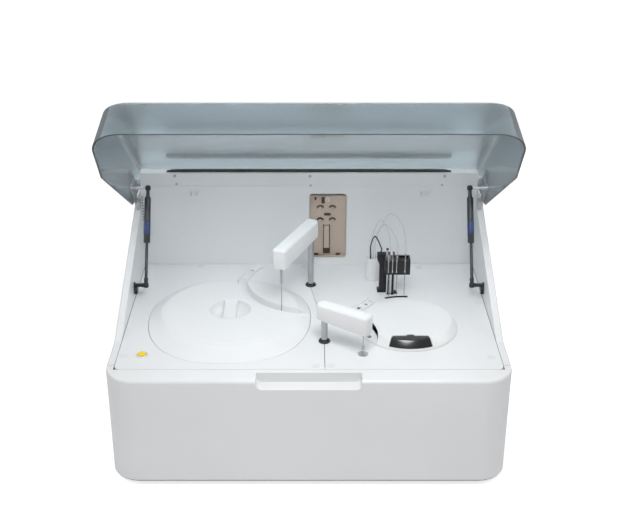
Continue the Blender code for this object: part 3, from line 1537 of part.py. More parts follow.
def make_wash_head(root, paint):
    """The block that goes up and down the guide rods with its needles and hose stubs."""
    back = head_back()
    low = DECK + HEAD_LOW
    high = DECK + HEAD_HIGH
    body = block(HEAD_LEFT, HEAD_RIGHT, back - HEAD_DEPTH, back, low, high)
    head = object_from("wash_head", body, root, paint["black"], (HEAD_LEFT, back, low))
    soften(head, HEAD_ROUND, 2)
    for index, bore in enumerate(guide_rods(ROD_RADIUS + ROD_CLEARANCE, low - OVERRUN, high + OVERRUN)):
        cut(head, bore, f"bore_{index}")
    for index, angle in enumerate(needle_angles()):
        x, y = polar(REACTION_AXIS, CUVETTE_RADIUS, angle)
        tip = (x, y, DECK + WASH_NEEDLE_TIP)
        needle = rod_between(tip, (x, y, low + HEAD_ROUND), WASH_NEEDLE_RADIUS, WASH_NEEDLE_RADIUS, 8)
        add(head, needle, f"needle_{index}")
        stub = rod_between(
            (x, y, high - HEAD_ROUND), (x, y, high + FITTING_HEIGHT), FITTING_RADIUS, FITTING_RADIUS, 10
        )
        add(head, stub, f"stub_{index}")
    return smooth(head)


def make_tube_tower(root, paint):
    """The hollow post that the wash hoses come out of."""
    base = DECK + SEAT_GAP
    tower_top = DECK + TOWER_HEIGHT
    profile = ((TOWER_RADIUS, base), (TOWER_RADIUS, tower_top - TOWER_WALL), (TOWER_RADIUS - TOWER_WALL / 2, tower_top))
    tower = object_from(
        "tube_tower", turned(profile, TOWER_CENTRE, COLLAR_STEPS), root, paint["white"], (*TOWER_CENTRE, DECK)
    )
    inner = TOWER_RADIUS - TOWER_WALL
    bore = ((inner, DECK + TOWER_FLOOR), (inner, tower_top + OVERRUN))
    cut(tower, turned(bore, TOWER_CENTRE, COLLAR_STEPS), "mouth")
    return smooth(tower)


# Hoses and cable of the wash station
HOSE_RADIUS = 0.0011
HOSE_PEAK = 0.160
HOSE_DROP_SHARES = (0.00, 0.22, 0.12)
HOSE_SPREAD = 0.0045
HOSE_STRAIGHT = 0.040
HOSE_LAND = 0.018
CLIP_HEIGHT = 0.004
CLIP_DEPTH = 0.010
OVER_SHARES = ((0.45, 0.22, 1.00), (0.88, 0.72, 0.94))
CABLE_RADIUS = 0.0016
CABLE_OFFSET = (-0.0066, -0.0055)
CABLE_PEAK = 0.112
CABLE_LAND = 0.010
CABLE_END = (-0.0045, 0.0030)
CABLE_OVER_SHARE = 0.40


def smooth_route(points, steps):
    """Points on a smooth curve through a short list of places."""
    route = []
    last = len(points) - 1
    for index in range(last):
        before = points[max(index - 1, 0)]
        start = points[index]
        end = points[index + 1]
        after = points[min(index + 2, last)]
        for step in range(steps):
            share = step / steps
            route.append(
                0.5
                * (
                    2 * start
                    + (end - before) * share
                    + (2 * before - 5 * start + 4 * end - after) * share**2
                    + (3 * start - before - 3 * end + after) * share**3
                )
            )
    route.append(points[-1])
    return route


def hose_skin(route, radius, sides):
    """A round skin along a route, its loops kept square to the way it runs."""
    sections = []
    side_way = None
    for index, point in enumerate(route):
        ahead = route[min(index + 1, len(route) - 1)] - route[max(index - 1, 0)]
        ahead.normalize()
        if side_way is None:
            side_way = ahead.orthogonal().normalized()
        side_way = (side_way - ahead * side_way.dot(ahead)).normalized()
        other = ahead.cross(side_way)
        turns = [math.tau * step / sides for step in range(sides)]
        sections.append(
            [point + radius * (math.cos(turn) * side_way + math.sin(turn) * other) for turn in turns]
        )
    return loft(sections)


def lifted(point, height):
    return Vector((point.x, point.y, height))


def make_wash_hoses(root, paint):
    """The clear hoses, from their clip down in the tower over to the stubs on the head."""
    tower_top = DECK + TOWER_HEIGHT
    foot = tower_top - CLIP_DEPTH
    x, y = TOWER_CENTRE
    reach = HOSE_SPREAD + 2 * HOSE_RADIUS
    clip = block(x - reach, x + reach, y - 2 * HOSE_RADIUS, y + 2 * HOSE_RADIUS, foot, foot + CLIP_HEIGHT)
    hoses = object_from("wash_hoses", clip, root, paint["clear"], (*TOWER_CENTRE, tower_top))
    for index, angle in enumerate(needle_angles()):
        stub_x, stub_y = polar(REACTION_AXIS, CUVETTE_RADIUS, angle)
        stub = Vector((stub_x, stub_y, DECK + HEAD_HIGH + FITTING_HEIGHT + SEAT_GAP))
        start = Vector((x + (1 - index) * HOSE_SPREAD, y, foot + CLIP_HEIGHT / 2))
        rise = (DECK + HOSE_PEAK - tower_top) * (1 - HOSE_DROP_SHARES[index])
        places = [start, lifted(start, tower_top), lifted(start, tower_top + HOSE_STRAIGHT)]
        for across_share, along_share, height_share in OVER_SHARES:
            places.append(
                Vector(
                    (
                        start.x + (stub.x - start.x) * across_share,
                        start.y + (stub.y - start.y) * along_share,
                        tower_top + rise * height_share,
                    )
                )
            )
        places += [lifted(stub, stub.z + HOSE_LAND), lifted(stub, stub.z + HOSE_LAND / 3), stub]
        add(hoses, hose_skin(smooth_route(places, 4), HOSE_RADIUS, 6), f"hose_{index}")
    return smooth(hoses)


def make_wash_cable(root, paint):
    """The black lead that loops out of the tower's mouth into the top of the mast."""
    tower_top = DECK + TOWER_HEIGHT
    x = TOWER_CENTRE[0] + CABLE_OFFSET[0]
    y = TOWER_CENTRE[1] + CABLE_OFFSET[1]
    start = Vector((x, y, DECK + TOWER_FLOOR + SEAT_GAP))
    end = Vector((MAST_CENTRE[0] + CABLE_END[0], MAST_CENTRE[1] + CABLE_END[1], DECK + MAST_HEIGHT + SEAT_GAP))
    top = start.lerp(end, CABLE_OVER_SHARE)
    places = [
        start,
        lifted(start, tower_top),
        lifted(start, tower_top + (DECK + CABLE_PEAK - tower_top) / 2),
        lifted(top, DECK + CABLE_PEAK),
        lifted(end, end.z + CABLE_LAND),
        lifted(end, end.z + CABLE_LAND / 3),
        end,
    ]
    cable = hose_skin(smooth_route(places, 5), CABLE_RADIUS, 8)
    return smooth(object_from("wash_cable", cable, root, paint["black"], tuple(start)))


# Stop button and its bezel
BUTTON_HEIGHT = 0.0045
BEZEL_RADIUS = 0.0122
BEZEL_HEIGHT = 0.0020
BEZEL_DROP = 0.010


def make_button(root, paint):
    bezel_base = DECK + SEAT_GAP
    inner = BUTTON_RADIUS + SEAT_GAP
    neck = BUTTON_HOLE - SEAT_GAP
    floor = DECK - BEZEL_DROP
    profile = (
        (neck, floor),
        (neck, bezel_base),
        (BEZEL_RADIUS, bezel_base),
        (BEZEL_RADIUS - BEZEL_HEIGHT / 2, bezel_base + BEZEL_HEIGHT),
    )
    bezel = object_from(
        "button_bezel", turned(profile, BUTTON_CENTRE, COLLAR_STEPS), root, paint["white"], (*BUTTON_CENTRE, DECK)
    )
    bore = ((inner, floor + WALL / 2), (inner, bezel_base + BEZEL_HEIGHT + OVERRUN))
    cut(bezel, turned(bore, BUTTON_CENTRE, COLLAR_STEPS), "bore")
    smooth(bezel)
    top = DECK + BUTTON_HEIGHT
    cap = (
        (BUTTON_RADIUS, DECK - BUTTON_HEIGHT),
        (BUTTON_RADIUS, top - WALL / 3),
        (BUTTON_RADIUS - WALL / 3, top),
    )
    return smooth(
        object_from(
            "yellow_button", turned(cap, BUTTON_CENTRE, COLLAR_STEPS), root, paint["yellow"], (*BUTTON_CENTRE, DECK)
        )
    )


# Wall brackets below the header
BRACKET_X = 0.249
BRACKET_HALF = 0.014
BRACKET_HEIGHT = 0.178
BRACKET_PLATE = 0.0015
BRACKET_TALL = 0.008
EAR_THICKNESS = 0.002
EAR_REACH = 0.010
EAR_DROP = 0.012


def make_wall_bracket(root, paint, side_name, side):
    """A folded plate with two ears, screwed to the wall under the header."""
    centre = side * BRACKET_X
    back = CHAMBER_DEPTH - SEAT_GAP
    high = DECK + BRACKET_HEIGHT
    at = (centre, back, high)
    plate = block(
        centre - BRACKET_HALF, centre + BRACKET_HALF, back - BRACKET_PLATE, back, high - BRACKET_TALL, high
    )
    bracket = object_from(f"wall_bracket_{side_name}", plate, root, paint["white"], at)
    ear = (
        (back - BRACKET_PLATE / 2, high - BRACKET_TALL / 4),
        (back - BRACKET_PLATE / 2, high - EAR_DROP),
        (back - EAR_REACH, high - EAR_DROP),
        (back - EAR_REACH, high - BRACKET_TALL),
    )
    for index, edge in enumerate((-BRACKET_HALF / 2, BRACKET_HALF / 2 - EAR_THICKNESS)):
        add(bracket, sideways(ear, centre + edge, centre + edge + EAR_THICKNESS), f"ear_{index}")
    return bracket


# Gas struts between the side covers and the lid
STRUT_X = 0.340
STRUT_LOW = (0.327, 0.031)
STRUT_HIGH = (0.441, 0.203)
STRUT_TUBE_RADIUS = 0.0068
STRUT_TUBE_LENGTH = 0.118
STRUT_ROD_RADIUS = 0.0035
SOCKET_RADIUS = 0.0062
SOCKET_WIDTH = 0.011
SOCKET_NECK = 0.016
STUD_RADIUS = 0.0030
STUD_SHORT = 0.0005
PLATE_HALF = 0.009
PLATE_THICKNESS = 0.003
STRUT_STEPS = 16


def strut_frame():
    start = Vector((0.0, STRUT_LOW[0], DECK + STRUT_LOW[1]))
    end = Vector((0.0, STRUT_HIGH[0], DECK + STRUT_HIGH[1]))
    return start, end, (end - start).normalized()


def make_strut(root, paint, side_name, side):
    start, end, along = strut_frame()
    middle = Vector((side * STRUT_X, 0.0, 0.0))
    foot = start + middle
    head = end + middle
    across = Vector((SOCKET_WIDTH / 2, 0.0, 0.0))
    tube_end = head - along * STRUT_TUBE_LENGTH
    rod_top = tube_end + along * (STRUT_TUBE_LENGTH - SOCKET_NECK - SOCKET_RADIUS) * 0.10
    eye = rod_between(foot - across, foot + across, SOCKET_RADIUS, SOCKET_RADIUS, STRUT_STEPS)
    rod = object_from(f"strut_rod_{side_name}", eye, root, paint["black"], tuple(foot))
    neck_end = foot + along * SOCKET_NECK
    add(rod, rod_between(foot, neck_end, SOCKET_RADIUS * 0.75, SOCKET_RADIUS * 0.75, 12), "neck")
    rod_foot = foot + along * SOCKET_NECK * 0.8
    add(rod, rod_between(rod_foot, rod_top, STRUT_ROD_RADIUS, STRUT_ROD_RADIUS, 12), "rod")
    cut(rod, stud_hole(foot, side), "stud_hole")
    smooth(rod)
    barrel_top = head - along * SOCKET_NECK
    barrel = rod_between(tube_end, barrel_top, STRUT_TUBE_RADIUS, STRUT_TUBE_RADIUS, STRUT_STEPS)
    tube = object_from(f"strut_tube_{side_name}", barrel, root, paint["black"], tuple(head))
    neck_start = head - along * SOCKET_NECK * 1.3
    add(tube, rod_between(neck_start, head, SOCKET_RADIUS * 0.75, SOCKET_RADIUS * 0.75, 12), "neck")
    add(tube, rod_between(head - across, head + across, SOCKET_RADIUS, SOCKET_RADIUS, STRUT_STEPS), "eye")
    bore_end = head - along * (SOCKET_NECK + SOCKET_RADIUS + WALL)
    bore = rod_between(
        tube_end - along * OVERRUN, bore_end, STRUT_ROD_RADIUS + SEAT_GAP, STRUT_ROD_RADIUS + SEAT_GAP, 12
    )
    cut(tube, bore, "bore")
    cut(tube, stud_hole(head, side), "stud_hole")
    smooth(tube)
    make_strut_bracket(root, paint, side_name, side, foot)


def stud_hole(centre, side):
    """The socket for a ball stud, open towards the side cover."""
    inner = centre - Vector((side * SOCKET_WIDTH / 4, 0.0, 0.0))
    outer = centre + Vector((side * (SOCKET_WIDTH / 2 + OVERRUN), 0.0, 0.0))
    return rod_between(inner, outer, STUD_RADIUS + SEAT_GAP, STUD_RADIUS + SEAT_GAP, 12)


def make_strut_bracket(root, paint, side_name, side, foot):
    """The plate on the side cover with the ball stud for the strut's lower end."""
    wall_face = INNER_HALF - SEAT_GAP
    low = foot.z - 2 * PLATE_HALF
    outline = rounded_box_outline((foot.y - PLATE_HALF, low), (foot.y + PLATE_HALF, foot.z + PLATE_HALF), WALL, 3)
    plate = sideways(outline, *mirrored(wall_face - PLATE_THICKNESS, wall_face, side))
    at = (side * wall_face, foot.y, foot.z)
    bracket = object_from(f"strut_bracket_{side_name}", plate, root, paint["black"], at)
    start = (side * (wall_face - PLATE_THICKNESS / 2), foot.y, foot.z)
    end = (side * STRUT_X, foot.y, foot.z)
    add(bracket, rod_between(start, end, STUD_RADIUS, STUD_RADIUS, 12), "stud")
    return smooth(bracket)


# Lid
LID_FRONT_LENGTH = 0.1227
LID_LEAN = math.radians(27.0)
LID_BACK_Y = 0.554
LID_BACK_HEIGHT = 0.261
LID_TIP_Y = 0.464
LID_RIM_GAP = 0.0010
LID_FLANGE = 0.010
LID_CORNER_STEPS = 8
LID_BROW_RADIUS = 0.012
LID_BRACKET_THICKNESS = 0.0022
LID_TAB_RADIUS = 0.0085
STUD_BOSS_RADIUS = 0.0085


def lid_lines():
    """The brow where the lid's front meets its roof, and the roof's slope."""
    brow_y = LID_FRONT_LENGTH * math.sin(LID_LEAN)
    brow_z = DECK + LID_FRONT_LENGTH * math.cos(LID_LEAN)
    rise = DECK + LID_BACK_HEIGHT - brow_z
    return brow_y, brow_z, rise / (LID_BACK_Y - brow_y)


def lid_solid(inset, drop, back_y):
    """The lid's envelope: a leaning front with rounded corners, upright sides, a sloping roof."""
    brow_y, brow_z, roof = lid_lines()
    lean = math.tan(LID_LEAN)
    front_inset = inset / math.cos(LID_LEAN)
    roof_drop = inset * math.hypot(1, roof)
    brow_shift = (roof_drop + front_inset * roof) / (1 / lean - roof)
    front_high = brow_y + front_inset - brow_shift
    front_low = front_inset - drop * lean
    reach = LID_BROW_RADIUS - inset

    def outline(front, narrower):
        return rounded_box_outline(
            (-HALF_WIDTH + inset + narrower, front + narrower),
            (HALF_WIDTH - inset - narrower, back_y),
            CORNER_RADIUS - inset - narrower,
            LID_CORNER_STEPS,
            (True, True, False, False),
        )

    def on_roof(points):
        return [Vector((x, y, brow_z - roof_drop + (y - brow_y) * roof)) for x, y in points]

    foot = [Vector((x, y, DECK - drop)) for x, y in outline(front_low, 0.0)]
    return loft(eased_edge(foot, on_roof(outline(front_high, 0.0)), on_roof(outline(front_high, reach)), 4))


def make_lid(root, paint):
    """The smoked lid and its metal tabs, drawn shut and then swung open about the pivot pins."""
    pivot_point = (0.0, LID_PIVOT_Y, DECK + LID_PIVOT_HEIGHT)
    hinge = empty_at("lid_hinge", pivot_point, root, (-LID_OPENING, 0.0, 0.0))
    lid = object_from("lid_shell", lid_solid(0.0, OVERRUN, LID_BACK_Y), hinge, paint["smoke"], pivot_point)
    cut(lid, lid_solid(LID_WALL, 3 * OVERRUN, LID_BACK_Y - LID_WALL), "inside")
    far = BODY_DEPTH + OVERRUN
    tip_z = DECK + rim_height(LID_TIP_Y) + LID_RIM_GAP
    below = (
        (-BODY_DEPTH, DECK - BODY_DEPTH),
        (far, DECK - BODY_DEPTH),
        (far, DECK + LID_BACK_HEIGHT - LID_FLANGE - LID_WALL),
        (LID_BACK_Y - WALL, DECK + LID_BACK_HEIGHT - LID_FLANGE - LID_WALL),
        (LID_TIP_Y, tip_z),
        (SIDE_FLAT, DECK + LID_RIM_GAP),
        (-BODY_DEPTH, DECK + LID_RIM_GAP),
    )
    cut(lid, sideways(below, -BODY_WIDTH, BODY_WIDTH), "rim_line")
    smooth(lid)
    for side_name, side in SIDES:
        make_lid_bracket(hinge, paint, side_name, side)
    return lid


def closed_point(y, height):
    """Where a point of the open lid lies when the lid is shut."""
    away = Vector((0.0, y - LID_PIVOT_Y, height - LID_PIVOT_HEIGHT))
    back = Matrix.Rotation(LID_OPENING, 3, "X") @ away
    return LID_PIVOT_Y + back.y, LID_PIVOT_HEIGHT + back.z


def make_lid_bracket(hinge, paint, side_name, side):
    """The tab screwed inside the lid, with the hinge hole and the strut's upper ball stud."""
    outer = HALF_WIDTH - LID_WALL - SEAT_GAP
    inner = outer - LID_BRACKET_THICKNESS
    stud_y, stud_height = closed_point(*STRUT_HIGH)
    stud_z = DECK + stud_height
    pivot_z = DECK + LID_PIVOT_HEIGHT
    tab = ring_points((LID_PIVOT_Y, pivot_z), LID_TAB_RADIUS, 8, math.radians(-100), math.radians(150))
    top = [
        (LID_PIVOT_Y - LID_TAB_RADIUS, pivot_z + 4 * LID_TAB_RADIUS),
        (stud_y + STUD_BOSS_RADIUS, stud_z + 4 * STUD_BOSS_RADIUS),
    ]
    boss = ring_points((stud_y, stud_z), STUD_BOSS_RADIUS, 8, math.radians(120), math.radians(150))
    outline = tab + top + boss
    plate = sideways(outline, *mirrored(inner, outer, side))
    at = (side * outer, LID_PIVOT_Y, pivot_z)
    bracket = object_from(f"lid_bracket_{side_name}", plate, hinge, paint["zinc"], at)
    start = (side * (inner + LID_BRACKET_THICKNESS / 2), stud_y, stud_z)
    end = (side * (STRUT_X + SOCKET_WIDTH / 2 + STUD_SHORT), stud_y, stud_z)
    add(bracket, rod_between(start, end, STUD_RADIUS, STUD_RADIUS, 12), "stud")
    hole_radius = PIVOT_PIN_RADIUS + PIVOT_PIN_CLEARANCE
    hole_start = (side * (inner - OVERRUN), LID_PIVOT_Y, pivot_z)
    hole_end = (side * (outer + OVERRUN), LID_PIVOT_Y, pivot_z)
    cut(bracket, rod_between(hole_start, hole_end, hole_radius, hole_radius, PIN_STEPS), "pivot_hole")
    return smooth(bracket)


def open_lid_depth():
    """How far back the open lid's rear edge reaches, from the front face."""
    away = Vector((0.0, LID_BACK_Y - LID_PIVOT_Y, LID_BACK_HEIGHT - LID_PIVOT_HEIGHT))
    return LID_PIVOT_Y + (Matrix.Rotation(-LID_OPENING, 3, "X") @ away).y


def make_analyzer():
    clear_scene()
    paint = make_materials()
    root = empty_at("analyzer", (0.0, 0.0, 0.0))
    make_base(root, paint)
    make_front_cover(root, paint)
    for side_name, side in SIDES:
        make_side_cover(root, paint, side_name, side)
        make_lid_pivot(root, paint, side_name, side)
        make_wall_bracket(root, paint, side_name, side)
        make_strut(root, paint, side_name, side)
    make_rear_cover(root, paint)
    make_connector_panel(root, paint)
    make_power_switch(root, paint)
    make_fluid_ports(root, paint)
    make_back_wall(root, paint)
    make_header(root, paint)
    make_rear_seal(root, paint)
    make_ise_module(root, paint)
    make_ise_cover(root, paint)
    make_deck_left(root, paint)
    make_deck_right(root, paint)
    make_carousel_well(root, paint)
    make_carousel_disk(root, paint)
    make_carousel_cover(root, paint)
    make_reaction_well(root, paint)
    make_reaction_ring(root, paint)
    make_reaction_cover(root, paint)
    make_cuvette_window(root, paint)
    make_arms(root, paint)
    make_mixer_wash_well(root, paint)
    make_wash_mast(root, paint)
    make_wash_head(root, paint)
    make_tube_tower(root, paint)
    make_wash_hoses(root, paint)
    make_wash_cable(root, paint)
    make_button(root, paint)
    make_lid(root, paint)
    depth = max(open_lid_depth(), BODY_DEPTH + PORT_LENGTH)
    root.location = (0.0, -depth / 2, 0.0)


make_analyzer()
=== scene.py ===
"""Benchtop chemistry analyzer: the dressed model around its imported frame.

Run it as a script. Each operator models one piece or one group of like pieces and hangs
it on the body that carries it.
"""

import math
from contextlib import contextmanager

import bmesh
import bpy
from mathutils import Matrix, Vector


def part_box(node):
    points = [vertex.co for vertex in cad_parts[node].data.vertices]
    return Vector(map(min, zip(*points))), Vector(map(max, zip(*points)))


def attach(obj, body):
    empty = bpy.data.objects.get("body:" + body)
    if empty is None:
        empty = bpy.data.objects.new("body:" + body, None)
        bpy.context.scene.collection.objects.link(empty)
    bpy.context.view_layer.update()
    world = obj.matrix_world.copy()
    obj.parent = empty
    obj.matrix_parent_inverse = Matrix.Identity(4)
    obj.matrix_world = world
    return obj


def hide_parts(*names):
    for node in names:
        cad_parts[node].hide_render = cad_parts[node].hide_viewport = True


bl_info = {
    "name": "Benchtop Chemistry Analyzer",
    "version": (1, 0, 0),
    "blender": (4, 5, 0),
    "location": "3D View > Sidebar > Analyzer",
    "description": "Models the casing, lid, covers, arms and wash station of a benchtop analyzer",
    "category": "Add Mesh",
}

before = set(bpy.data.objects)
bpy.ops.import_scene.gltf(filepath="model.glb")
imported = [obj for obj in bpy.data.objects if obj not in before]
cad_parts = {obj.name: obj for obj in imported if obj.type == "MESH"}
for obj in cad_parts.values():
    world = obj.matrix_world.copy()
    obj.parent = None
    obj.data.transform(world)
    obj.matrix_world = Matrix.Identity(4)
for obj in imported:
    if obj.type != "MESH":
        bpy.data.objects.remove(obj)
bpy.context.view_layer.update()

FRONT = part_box("front_cover")[0].y
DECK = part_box("front_cover")[1].z
HALF_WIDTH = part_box("front_cover")[1].x

WHITE = "white_plastic"
BLACK = "black_plastic"
OVERRUN = 0.01
ABOVE = 0.03
NEAR = 0.001
TOUCHING = 0.0001
FORWARD = Vector((0.0, 0.01, 0.0))


def at(x, y, height):
    """A place given from the front face and the deck's top, in the shared frame."""
    return Vector((x, FRONT + y, DECK + height))


def polar(centre, radius, degrees):
    """A plan place on a circle, measured from the front face as the part's sizes are."""
    turn = math.radians(degrees)
    return centre[0] + radius * math.cos(turn), centre[1] + radius * math.sin(turn)


CAROUSEL_AXIS = (-0.160, 0.250)
REACTION_AXIS = (0.197, 0.230)
DOME_CENTRE = (0.196, 0.205)
SAMPLE_AXIS = (0.004, 0.389)
MIXER_AXIS = (0.030, 0.146)
CUVETTE_RADIUS = 0.1045
SAMPLE_REACH = 0.146
MIXER_REACH = 0.0875
SAMPLE_REST = 246.0
MIXER_REST = -33.3


# Modelling helpers


def nothing_selected():
    if bpy.context.mode != "OBJECT":
        bpy.ops.object.mode_set(mode="OBJECT")
    bpy.ops.object.select_all(action="DESELECT")


def only(piece):
    """Make one piece the active and only selected object."""
    nothing_selected()
    piece.select_set(True)
    bpy.context.view_layer.objects.active = piece


@contextmanager
def editing(piece):
    """Edit mode on one piece, starting with nothing selected."""
    only(piece)
    bpy.ops.object.mode_set(mode="EDIT")
    bpy.ops.mesh.select_all(action="DESELECT")
    yield
    bpy.ops.object.mode_set(mode="OBJECT")


def pick(kind, test):
    """Select the faces, edges or corners that pass a test on their place and direction."""
    bpy.ops.mesh.select_mode(type=kind)
    bpy.ops.mesh.select_all(action="DESELECT")
    data = bpy.context.edit_object.data
    shape = bmesh.from_edit_mesh(data)
    shape.normal_update()
    if kind == "FACE":
        tried = [(face, face.calc_center_median(), face.normal) for face in shape.faces]
    elif kind == "EDGE":
        tried = []
        for edge in shape.edges:
            start, end = edge.verts[0].co, edge.verts[1].co
            tried.append((edge, (start + end) / 2, (end - start).normalized()))
    else:
        tried = [(corner, corner.co, corner.normal) for corner in shape.verts]
    found = [element for element, place, way in tried if test(place, way)]
    for element in found:
        element.select_set(True)
    if not found:
        raise RuntimeError(f"no {kind.lower()} passed the test on {bpy.context.edit_object.name}")
    shape.select_flush_mode()
    bmesh.update_edit_mesh(data)


def move_picked(rule):
    """Move each selected corner to where a rule puts it."""
    data = bpy.context.edit_object.data
    shape = bmesh.from_edit_mesh(data)
    for corner in shape.verts:
        if corner.select:
            corner.co = rule(corner.co.copy())
    bmesh.update_edit_mesh(data)


def settle(piece):
    """Put a new piece's place, turn and size into its mesh."""
    only(piece)
    bpy.ops.object.transform_apply(location=True, rotation=True, scale=True)


def new_block(name, low, high):
    """A box between two corners, to be shaped further."""
    nothing_selected()
    low, high = Vector(low), Vector(high)
    bpy.ops.mesh.primitive_cube_add(size=1.0, location=(low + high) / 2, scale=high - low)
    piece = bpy.context.object
    piece.name = name
    settle(piece)
    return piece


def new_disc(name, centre, radius, steps):
    """A flat round face at a place, to be raised into a turned shape."""
    nothing_selected()
    bpy.ops.mesh.primitive_circle_add(
        vertices=steps, radius=radius, fill_type="NGON", location=centre
    )
    piece = bpy.context.object
    piece.name = name
    settle(piece)
    return piece


def draw_out(profile, x, y, base):
    """Extrude the round face in edit mode through a list of radius and height."""
    bpy.ops.mesh.select_all(action="SELECT")
    radius, height = profile[0]
    for next_radius, next_height in profile[1:]:
        rise = next_height - height
        bpy.ops.mesh.extrude_region_move(TRANSFORM_OT_translate={"value": (0.0, 0.0, rise)})
        share = next_radius / radius
        middle = (x, y, base + next_height)
        bpy.ops.transform.resize(value=(share, share, 1.0), center_override=middle)
        radius, height = next_radius, next_height
    face_outward()


def turned(name, centre, profile, steps=64):
    """A turned shape about an upright axis: profile is a list of radius and height, from the
    foot to the top, both ends closed."""
    radius, height = profile[0]
    foot = at(*centre, height)
    piece = new_disc(name, foot, radius, steps)
    with editing(piece):
        draw_out(profile, foot.x, foot.y, DECK)
    return piece


def face_outward():
    bpy.ops.mesh.select_all(action="SELECT")
    bpy.ops.mesh.remove_doubles(threshold=0.000005)
    bpy.ops.mesh.normals_make_consistent(inside=False)


def new_outline(name, places):
    """A flat face through a list of places."""
    nothing_selected()
    bpy.ops.mesh.primitive_circle_add(vertices=len(places), radius=1.0, fill_type="NGON")
    piece = bpy.context.object
    piece.name = name
    for corner, place in zip(piece.data.vertices, places):
        corner.co = place
    return piece


def raised(name, sections):
    """A face extruded through a list of loops, each with as many places as the first."""
    piece = new_outline(name, sections[0])
    with editing(piece):
        bpy.ops.mesh.select_all(action="SELECT")
        data = piece.data
        shape = bmesh.from_edit_mesh(data)
        order = shape.verts.layers.int.new("order")
        shape.verts.ensure_lookup_table()
        for index, corner in enumerate(shape.verts):
            corner[order] = index
        bmesh.update_edit_mesh(data)
        for section in sections[1:]:
            bpy.ops.mesh.extrude_region_move(TRANSFORM_OT_translate={"value": (0.0, 0.0, 0.0)})
            shape = bmesh.from_edit_mesh(data)
            order = shape.verts.layers.int["order"]
            for corner in shape.verts:
                if corner.select:
                    corner.co = section[corner[order]]
            bmesh.update_edit_mesh(data)
        face_outward()
    piece.data.attributes.remove(piece.data.attributes["order"])
    return piece


def upright(name, outline, low, high):
    """A plan outline, measured from the front face, raised from one height to another."""
    return raised(name, [[at(x, y, z) for x, y in outline] for z in (low, high)])


def arc_points(centre, radius, start, end, steps):
    turns = [start + (end - start) * step / steps for step in range(steps + 1)]
    return [polar(centre, radius, turn) for turn in turns]


def arc_band(centre, inner, outer, start, end, steps):
    """The plan outline of a curved strip."""
    far = arc_points(centre, outer, start, end, steps)
    return far + arc_points(centre, inner, end, start, steps)


def bent_rod(name, route, radius, sides=10):
    """A round skin on a smooth route, closed at both ends."""
    nothing_selected()
    curve = bpy.data.curves.new(name, "CURVE")
    curve.dimensions = "3D"
    curve.bevel_depth = radius
    curve.bevel_resolution = max(sides // 4, 1)
    curve.use_fill_caps = True
    line = curve.splines.new("POLY")
    line.points.add(len(route) - 1)
    for point, place in zip(line.points, route):
        point.co = (*place, 1.0)
    piece = bpy.data.objects.new(name, curve)
    bpy.context.scene.collection.objects.link(piece)
    only(piece)
    bpy.ops.object.convert(target="MESH")
    piece = bpy.context.object
    with editing(piece):
        face_outward()
    return piece


def smooth_route(points, steps):
    """Places on a smooth curve through a short list of places."""
    route = []
    last = len(points) - 1
    for index in range(last):
        before = points[max(index - 1, 0)]
        start = points[index]
        end = points[index + 1]
        after = points[min(index + 2, last)]
        for step in range(steps):
            share = step / steps
            route.append(
                0.5
                * (
                    2 * start
                    + (end - before) * share
                    + (2 * before - 5 * start + 4 * end - after) * share**2
                    + (3 * start - before - 3 * end + after) * share**3
                )
            )
    route.append(points[-1])
    return route


def turn_about(piece, axis, degrees, pivot):
    """Turn a piece's mesh about a line along one axis."""
    pivot = Vector(pivot)
    swing = Matrix.Rotation(math.radians(degrees), 4, axis)
    piece.matrix_world = Matrix.Translation(pivot) @ swing @ Matrix.Translation(-pivot)
    settle(piece)
    return piece


def rod(name, start, end, profile, steps=24):
    """A turned shape between two places: profile is a list of radius and distance along."""
    start, end = Vector(start), Vector(end)
    along = end - start
    radius, distance = profile[0]
    piece = new_disc(name, (0.0, 0.0, distance), radius, steps)
    with editing(piece):
        draw_out(profile, 0.0, 0.0, 0.0)
    piece.rotation_mode = "QUATERNION"
    piece.rotation_quaternion = along.to_track_quat("Z", "Y")
    piece.location = start
    settle(piece)
    return piece


def join_shapes(piece, others, operation):
    """Weld or carve with live shapes, applied at once; the other shapes are used up."""
    for other in others:
        only(piece)
        tool = piece.modifiers.new("shape", "BOOLEAN")
        tool.operation = operation
        tool.solver = "EXACT"
        tool.object = other
        bpy.ops.object.modifier_apply(modifier=tool.name)
        bpy.data.objects.remove(other, do_unlink=True)
    return piece


def carve(piece, *others):
    return join_shapes(piece, others, "DIFFERENCE")


def weld(piece, *others):
    return join_shapes(piece, others, "UNION")


def keep_common(piece, *others):
    return join_shapes(piece, others, "INTERSECT")


def gather(name, pieces):
    """Join separate shapes into one object."""
    nothing_selected()
    for piece in pieces:
        piece.select_set(True)
    bpy.context.view_layer.objects.active = pieces[0]
    bpy.ops.object.join()
    whole = bpy.context.object
    whole.name = name
    return whole


def ease_edges(piece, width, segments=3, angle=35.0):
    """Round every edge sharper than an angle."""
    only(piece)
    tool = piece.modifiers.new("ease", "BEVEL")
    tool.width = width
    tool.segments = segments
    tool.limit_method = "ANGLE"
    tool.angle_limit = math.radians(angle)
    tool.use_clamp_overlap = True
    bpy.ops.object.modifier_apply(modifier=tool.name)
    return piece


def round_picked(width, segments=6):
    bpy.ops.mesh.bevel(
        offset=width, offset_type="OFFSET", segments=segments, affect="EDGES", profile=0.5
    )


def round_along(piece, axis, width, segments):
    """Round the edges that run along one axis: 0, 1 or 2 for X, Y or Z."""
    with editing(piece):
        pick("EDGE", lambda middle, way: abs(way[axis]) > 0.9)
        round_picked(width, segments)


def finish_piece(piece, finish, body, replaces=(), smooth_angle=32.0):
    """Shade a piece, give it its finish and hang it on the body that carries it."""
    only(piece)
    bpy.ops.object.shade_smooth_by_angle(angle=math.radians(smooth_angle))
    piece.data.materials.clear()
    piece.data.materials.append(PAINT[finish])
    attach(piece, body)
    if replaces:
        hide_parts(*replaces)
    return piece


# Materials


